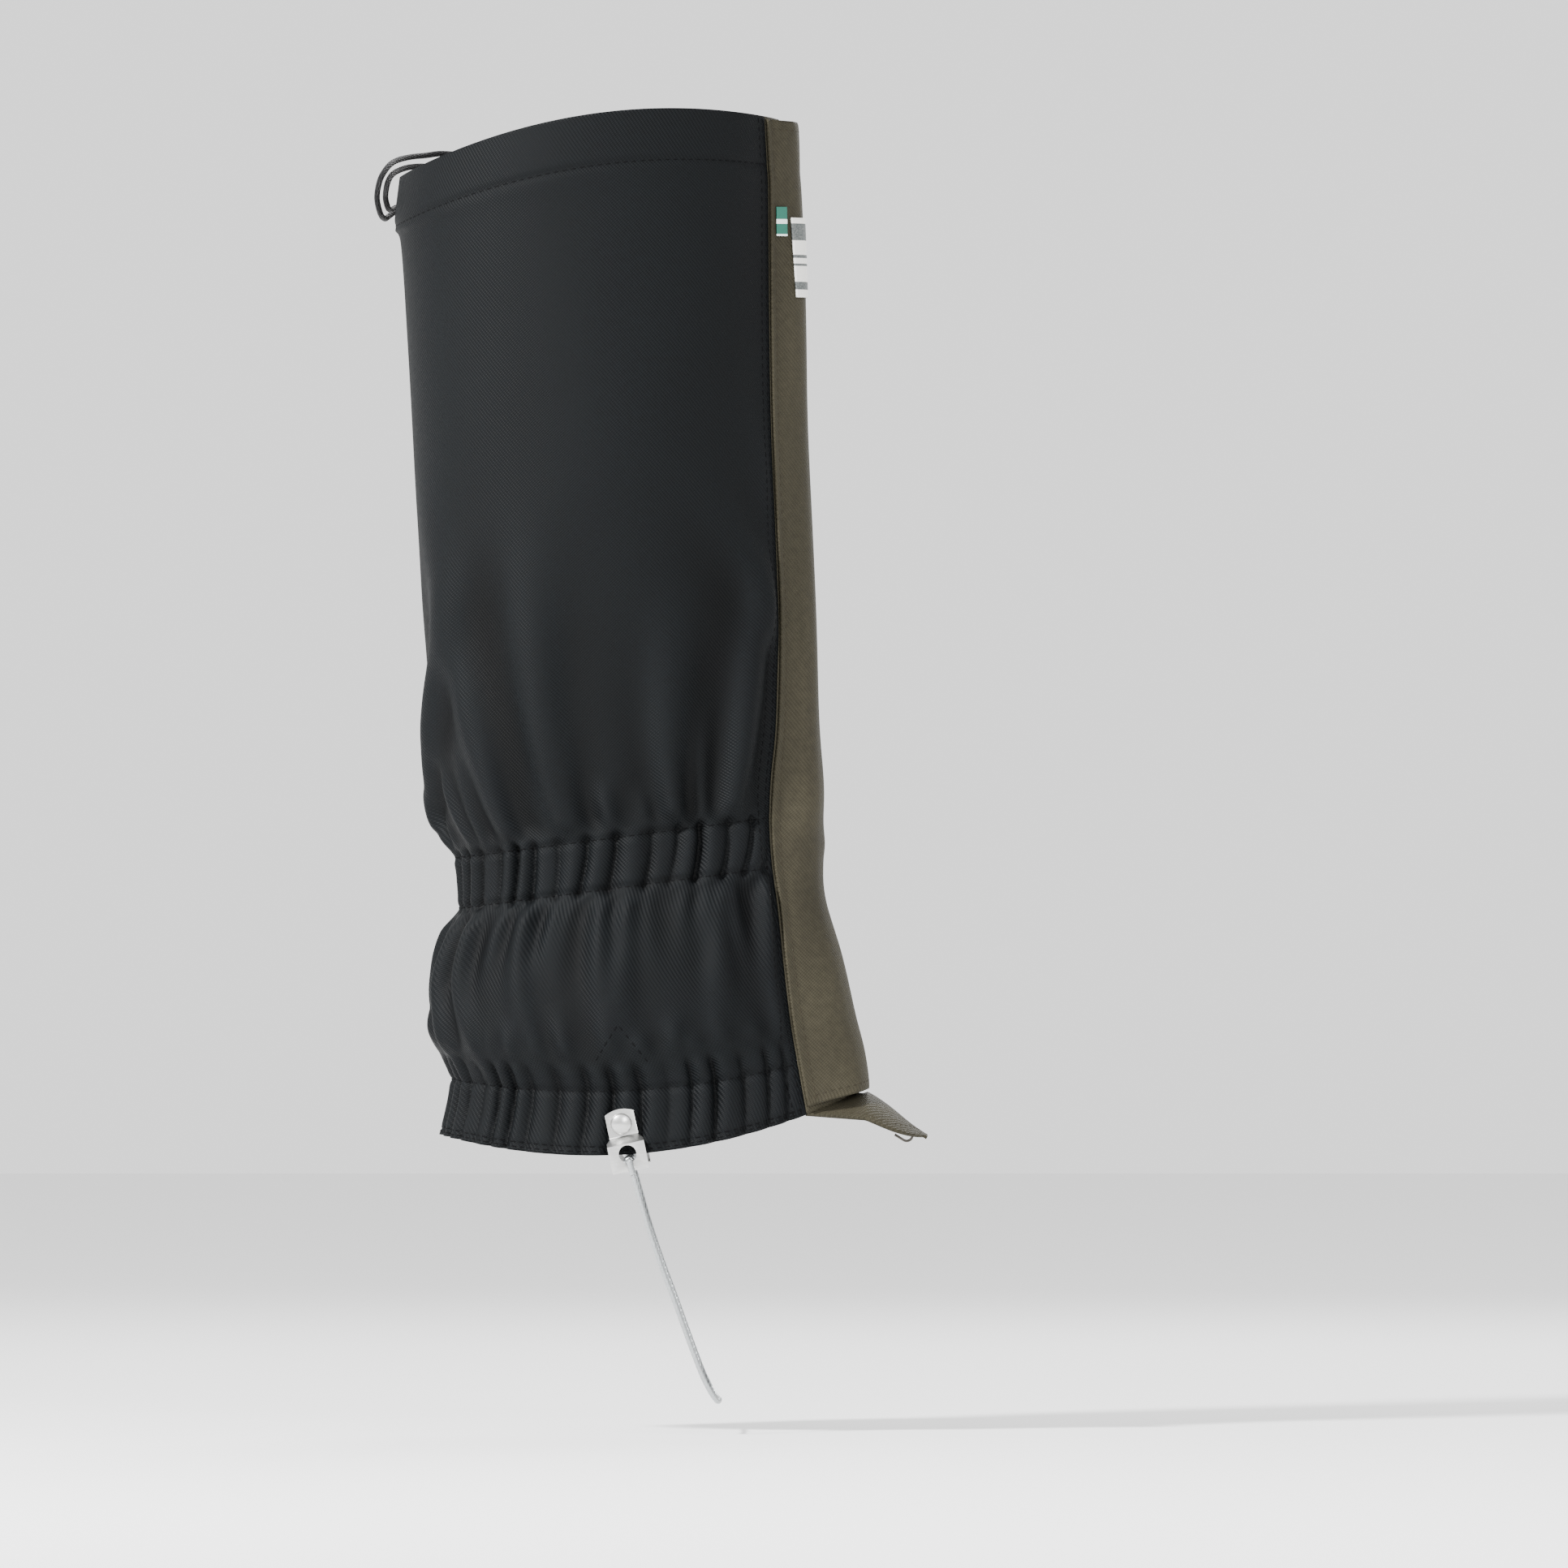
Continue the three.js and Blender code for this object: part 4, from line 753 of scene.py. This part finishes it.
for side, name in ((-1, "lateral"), (1, "medial")):
    middle = side * math.radians(97.5)
    top = side_row(18) - 1

    def patch_half(v, top=top):
        return arc(16 * np.minimum(1, 0.12 + (v - top) / 1.1), v)

    patch = cloth(f"patch_{name}", lambda v, m=middle, h=patch_half: m - h(v),
                  lambda v, m=middle, h=patch_half: m + h(v), top, side_row(-5), (30, 40), (-3.7, -2.9),
                  BLACK, relief)
    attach(patch, "gaiter_shell")
    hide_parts(f"reinforcement_{name}")

# Thread on the black cloth: hems, elastics, both side seams and the two triangles over the patches
round_leg = np.linspace(0, 1, 900)
black_lines = []
for row in (HEM_STITCH, ANKLE_TOP, ANKLE_BOTTOM, HEM_ELASTIC, 14.8, 14.9):
    v = np.full_like(round_leg, row)
    u = panel_start(v) + arc(1, v) + round_leg * (panel_end(v) - panel_start(v) - 2 * arc(1, v))
    black_lines.append(stitch_line(u, v, 0, relief))
down_leg = even_rows(0.03, LAST - 0.05, 700)
for inset in (1.9, 4.9):
    for side in (-1, 1):
        beside = side * (seam_angle(down_leg) + arc(inset, down_leg))
        black_lines.append(stitch_line(beside, down_leg, 0, relief))


def on_side(side, x_shift, z):
    """Angle and row at a height on one side, a distance forward of the rivet line, in mm."""
    u, v = side * math.radians(90.5), 13.5
    for _ in range(12):
        here = leg(u, v)
        u = u - side * (-0.6 + x_shift - here[0]) / 66
        v = v - (z - here[2]) / 22
    return u, v


TRIANGLE = [(-10, 26.5), (-1.4, 40.6), (10.4, 26)]
for side in (-1, 1):
    for (x0, z0), (x1, z1) in zip(TRIANGLE, TRIANGLE[1:]):
        pairs = [on_side(side, x0 + t * (x1 - x0), z0 + t * (z1 - z0)) for t in np.linspace(0, 1, 30)]
        black_lines.append(stitch_line([p[0] for p in pairs], [p[1] for p in pairs], 0, relief))
thread = stitches("black_thread_lines", black_lines, THREAD_BLACK)
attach(thread, "gaiter_shell")

# ---------------------------------------------------------------- olive cloth
FLAP_EDGE_Y = 19
FLAP_STANDOFF = 5.4
FLAP_FOOT = 0.3
FLAP_REACH = 3.55
FLAP_ROOT_INSET = 0.5


def zip_edge(side):
    return lambda v: side * np.abs(shin_angle(5, v))


def seam_edge(side):
    return lambda v: side * (seam_angle(v) - arc(SEAM_GAP, v) / 2)


def flap_lift(share):
    up = FLAP_FOOT + (FLAP_STANDOFF - FLAP_FOOT) * smooth(share / 0.38)
    return up + (FLAP_REACH - FLAP_STANDOFF) * smooth((share - 0.54) / 0.16)


def flap_root(v):
    return -seam_angle(v) + arc(FLAP_ROOT_INSET, v)


def flap_end(v):
    corner = 7
    z = leg(0, v)[..., 2]
    near = np.clip(np.minimum((SHAFT_HEIGHT - 1 - z) / corner, (z - 16) / corner), 0, 1)
    return shin_angle(FLAP_EDGE_Y - corner * (1 - np.sqrt(np.maximum(0, 1 - (1 - near) ** 2))), v)


for side, name in ((-1, "lateral"), (1, "medial")):
    edges = (seam_edge(-1), zip_edge(-1)) if side < 0 else (zip_edge(1), seam_edge(1))
    panel = cloth(f"front_{name}_cloth", *edges, 0, LAST - 0.02, (24, 260), (-FABRIC, 0.0), OLIVE)
    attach(panel, "gaiter_shell")
    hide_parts(f"front_panel_{name}")

FLAP_TOP, FLAP_BOTTOM = shin_row(SHAFT_HEIGHT - 1), shin_row(16.5)


def flap_share(u, v):
    return (u - flap_root(v)) / (flap_end(v) - flap_root(v))


def flap_shape(u, v):
    share = flap_share(u, v)
    hem = 0.35 * bell((share - 0.9) * 40, 1.6) + 0.3 * bell((share - 0.06) * 40, 1.4)
    return soft(u, v) * smooth(share / 0.25) * (1 - 0.6 * smooth((share - 0.7) / 0.3)) - hem


flap = cloth("storm_flap_cloth", flap_root, flap_end, FLAP_TOP, FLAP_BOTTOM, (90, 420),
             (lambda share, v, u: flap_lift(share), lambda share, v, u: flap_lift(share) + FABRIC), OLIVE,
             flap_shape)
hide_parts("storm_flap")


def flap_line(shares, rows):
    v = np.asarray(rows, float)
    u = flap_root(v) + shares * (flap_end(v) - flap_root(v))
    return stitch_line(u, v, flap_lift(flap_share(u, v)) + FABRIC, flap_shape)


long_rows = even_rows(FLAP_TOP + 0.06, FLAP_BOTTOM - 0.06, 500)
across = np.linspace(0.04, 0.94, 60)
flap_lines = [flap_line(np.full(500, 0.055), long_rows), flap_line(np.full(500, 0.93), long_rows),
              flap_line(across, np.full(60, shin_row(SHAFT_HEIGHT - 4.5))),
              flap_line(across, np.full(60, shin_row(19.5)))]
flap_thread = stitches("olive_thread_flap", flap_lines, THREAD_OLIVE, radius=0.26)

# The instep panel and the toe tab, one cloth that folds at the crease over the laces
CREASE_X, CREASE_Z, CREASE_RISE = 92, 12.5, 2.4
TAB_HALF_WIDTH, TAB_DROOP, TAB_LENGTH, TAB_FALL = 21, 9.7, 22, 13.4


def tab_point(w, s):
    """Outer face over the instep: s is -1 at the front panels, 0 at the crease and 1 at the tip."""
    edge_row = np.full_like(w, LAST - 0.02)
    edge = leg(w * (seam_angle(edge_row) - arc(0.4, edge_row)), edge_row, -0.6) + np.array([0, 0, 0.15])
    crease_z = CREASE_Z + CREASE_RISE - TAB_DROOP * w * w
    crease = np.stack([CREASE_X + 0 * w, w * TAB_HALF_WIDTH, crease_z], -1)
    back = edge + (crease - edge) * np.clip(s + 1, 0, 1)[..., None]
    out = np.clip(s, 0, 1)
    half = TAB_HALF_WIDTH * np.maximum(0.12, 1 - out ** 2.4) ** 0.6
    droop = TAB_DROOP * w * w * (half / TAB_HALF_WIDTH) ** 1.5 * (1 - 0.45 * out)
    rise = CREASE_RISE * (1 - smooth(out))
    front_z = CREASE_Z - 0.3 + rise - TAB_FALL * out - droop
    front = np.stack([CREASE_X + 0.5 + TAB_LENGTH * out, w * half, front_z], -1)
    point = np.where((s < 0)[..., None], back, front)
    point[..., 2] += 0.35 * np.sin(3.1 * w + 5 * s) * (1 - np.abs(w)) * np.clip(2 - 2 * np.abs(s), 0, 1)
    return point


tab_steps = np.concatenate([np.linspace(-1, 0, 30), np.linspace(0.03, 1, 70)])
tab_w, tab_s = np.meshgrid(np.linspace(-1, 1, 90), tab_steps)
tab_outer = tab_point(tab_w, tab_s)
tab_inner = tab_outer + np.stack([-0.55 + 0 * tab_w, -0.6 * tab_w, -1 + 0 * tab_w], -1)
tab_weave = np.stack([tab_w * TAB_HALF_WIDTH, -tab_s * TAB_LENGTH, 0 * tab_w], -1)
tab = skin("toe_tab_cloth", tab_outer, tab_inner, OLIVE, tab_weave)
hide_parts("instep_panel", "toe_tab")
HEM_SHARE = np.linspace(-0.9, 0.9, 120)
tab_edge = tab_point(HEM_SHARE * 0.93, 0.86 - 0.62 * np.abs(HEM_SHARE) ** 3)
side_edge = [tab_point(np.full(60, side * 0.92), np.linspace(-0.95, 0.25, 60)) for side in (-1, 1)]
up = np.broadcast_to(np.array([0.45, 0.0, 0.9]), (120, 3))
outwards = [np.broadcast_to(np.array([0.2, side * 0.7, 0.6]), (60, 3)) for side in (-1, 1)]
tab_thread = stitches("olive_thread_tab", [(tab_edge, up)] + list(zip(side_edge, outwards)), THREAD_OLIVE,
                      length=2.0, pitch=2.8, radius=0.26)
for piece in (flap, flap_thread):
    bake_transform(piece)
for piece in (tab, tab_thread):
    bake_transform(piece)

# ---------------------------------------------------------------- labels
def over_flap(name, start, end, z_high, z_low, size, material):
    label = cloth(name, start, end, shin_row(z_high), shin_row(z_low), size,
                  (lambda share, v, u: flap_lift(flap_share(u, v)) + FABRIC + 0.35,
                   lambda share, v, u: flap_lift(flap_share(u, v)) + FABRIC + 0.85), material, flap_shape)
    count = size[0] * size[1]
    weave = np.zeros((2 * count, 3), np.float32)
    grid = np.meshgrid(np.linspace(0, 1, size[0]), np.linspace(1, 0, size[1]))
    weave[:, 0] = np.tile(grid[0].ravel(), 2)
    weave[:, 1] = np.tile(grid[1].ravel(), 2)
    label.data.attributes["weave"].data.foreach_set("vector", weave.ravel())
    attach(label, "storm_flap")
    return label


front_label = over_flap("front_label_cloth", lambda v: shin_angle(-12, v), lambda v: shin_angle(12, v),
                        344, 314, (40, 30), LABEL)
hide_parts("front_label")
side_tag = over_flap("side_tag_cloth", lambda v: flap_root(v) + arc(2.7, v),
                     lambda v: flap_root(v) + arc(8.2, v), 348, 337, (14, 20), TAG)
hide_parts("side_tag")

# ---------------------------------------------------------------- zip, tapes and metal
TAPES = ["zip_tape_lateral", "zip_tape_medial", "loop_tape_upper", "loop_tape_lower", "hook_tape_upper",
         "hook_tape_lower"]
for name in TAPES:
    cad = frame["nodes"][name]
    cad.data.materials.clear()
    cad.data.materials.append(WEBBING)


def repaint(names, material, round_edge=0.0):
    """Gives CAD pieces their finish, smooth faces where they are round and a fine rounded edge."""
    for name in names:
        cad = frame["nodes"][name]
        cad.data.materials.clear()
        cad.data.materials.append(material)
        for polygon in cad.data.polygons:
            polygon.material_index = 0
        if round_edge:
            refine(name, cad, material, round_edge)


def refine(name, cad, material, round_edge):
    """A finer copy of a hard piece: welded, its sharp edges rounded over and its round faces smooth."""
    fine = bmesh.new()
    fine.from_mesh(cad.data)
    bmesh.ops.remove_doubles(fine, verts=fine.verts, dist=0.00001)
    bmesh.ops.dissolve_limit(fine, angle_limit=math.radians(1.5), verts=fine.verts, edges=fine.edges)
    sharp = [edge for edge in fine.edges
             if len(edge.link_faces) == 2 and edge.calc_face_angle(0) > math.radians(32)]
    bmesh.ops.bevel(fine, geom=sharp, offset=round_edge * MM, segments=2, profile=0.7, affect="EDGES",
                    clamp_overlap=True)
    bmesh.ops.triangulate(fine, faces=[face for face in fine.faces if len(face.verts) > 4])
    for face in fine.faces:
        face.smooth = True
    for edge in fine.edges:
        if len(edge.link_faces) == 2 and edge.calc_face_angle(0) > math.radians(40):
            edge.smooth = False
    mesh = bpy.data.meshes.new(f"{name}_fine")
    fine.to_mesh(mesh)
    fine.free()
    mesh.materials.append(material)
    made = bpy.data.objects.new(f"{name}_fine", mesh)
    bpy.context.collection.objects.link(made)
    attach(made, BODY_OF[name])
    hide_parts(name)


BODY_OF = {name: body for body, names in frame["record"]["behaviour"]["bodies"].items() for name in names}


repaint(["cord_eyelet_1", "cord_eyelet_2", "zip_base_box", "zip_top_stop_lateral", "zip_top_stop_medial",
         "stud_post", "stud_socket", "stud_cap", "zip_slider", "zip_pull", "lace_hook"], GUNMETAL, 0.12)
repaint(["rivet_lateral", "rivet_medial", "rivet_washer_lateral", "rivet_washer_medial",
         "keyhole_plate_lateral", "keyhole_plate_medial"], STEEL, 0.16)
repaint(["wire_end_lateral", "wire_end_medial", "cord_lock_spring"], WIRE)
repaint(["cord_lock_barrel", "cord_lock_plunger"], NYLON, 0.25)


TOOTH_PITCH = 1.15
# distance from the zip's middle, half height, inner and outer depth of a tooth, from its root to its tip
TOOTH_SECTIONS = ((2.6, 0.42, -2.45, -1.32), (1.1, 0.42, -2.5, -1.26), (0.28, 0.3, -2.3, -1.45))


def zip_teeth(side):
    """One row of moulded teeth on its side of the chain."""
    sign = -1 if side == "lateral" else 1
    top, bottom = shin_row(SHAFT_HEIGHT - 8) + 0.06, LAST - 0.39
    rows = even_rows(top, bottom, 320)[:, None]
    points, quads = [], []
    heights = leg(0 * rows[:, 0], rows[:, 0])[:, 2]
    for z in np.arange(heights[-1] + 1, heights[0] - 1, TOOTH_PITCH):
        row = float(np.interp(-z, -heights, rows[:, 0]))
        ring = []
        for reach, half, low, high in TOOTH_SECTIONS:
            u = shin_angle(sign * reach, row)
            dv = half / 24
            ring.append([leg(u, row - dv, low), leg(u, row - dv, high),
                         leg(u, row + dv, high), leg(u, row + dv, low)])
        base = len(points)
        points += [p for part in ring for p in part]
        for k in range(2):
            for j in range(4):
                a, b = base + 4 * k + j, base + 4 * k + (j + 1) % 4
                quads.append((a, b, b + 4, a + 4) if sign > 0 else (a, a + 4, b + 4, b))
        first, last = [base + j for j in range(4)], [base + 8 + j for j in range(4)]
        quads.append(tuple(first[::-1]) if sign > 0 else tuple(first))
        quads.append(tuple(last) if sign > 0 else tuple(last[::-1]))
    teeth = mesh_object(f"zip_teeth_{side}_row", np.array(points), np.array(quads), NYLON, smooth_shade=False)
    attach(teeth, "gaiter_shell")
    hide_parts(f"zip_teeth_{side}")


zip_teeth("lateral")
zip_teeth("medial")
repaint(["drawcord_in_hem"], BRAID)
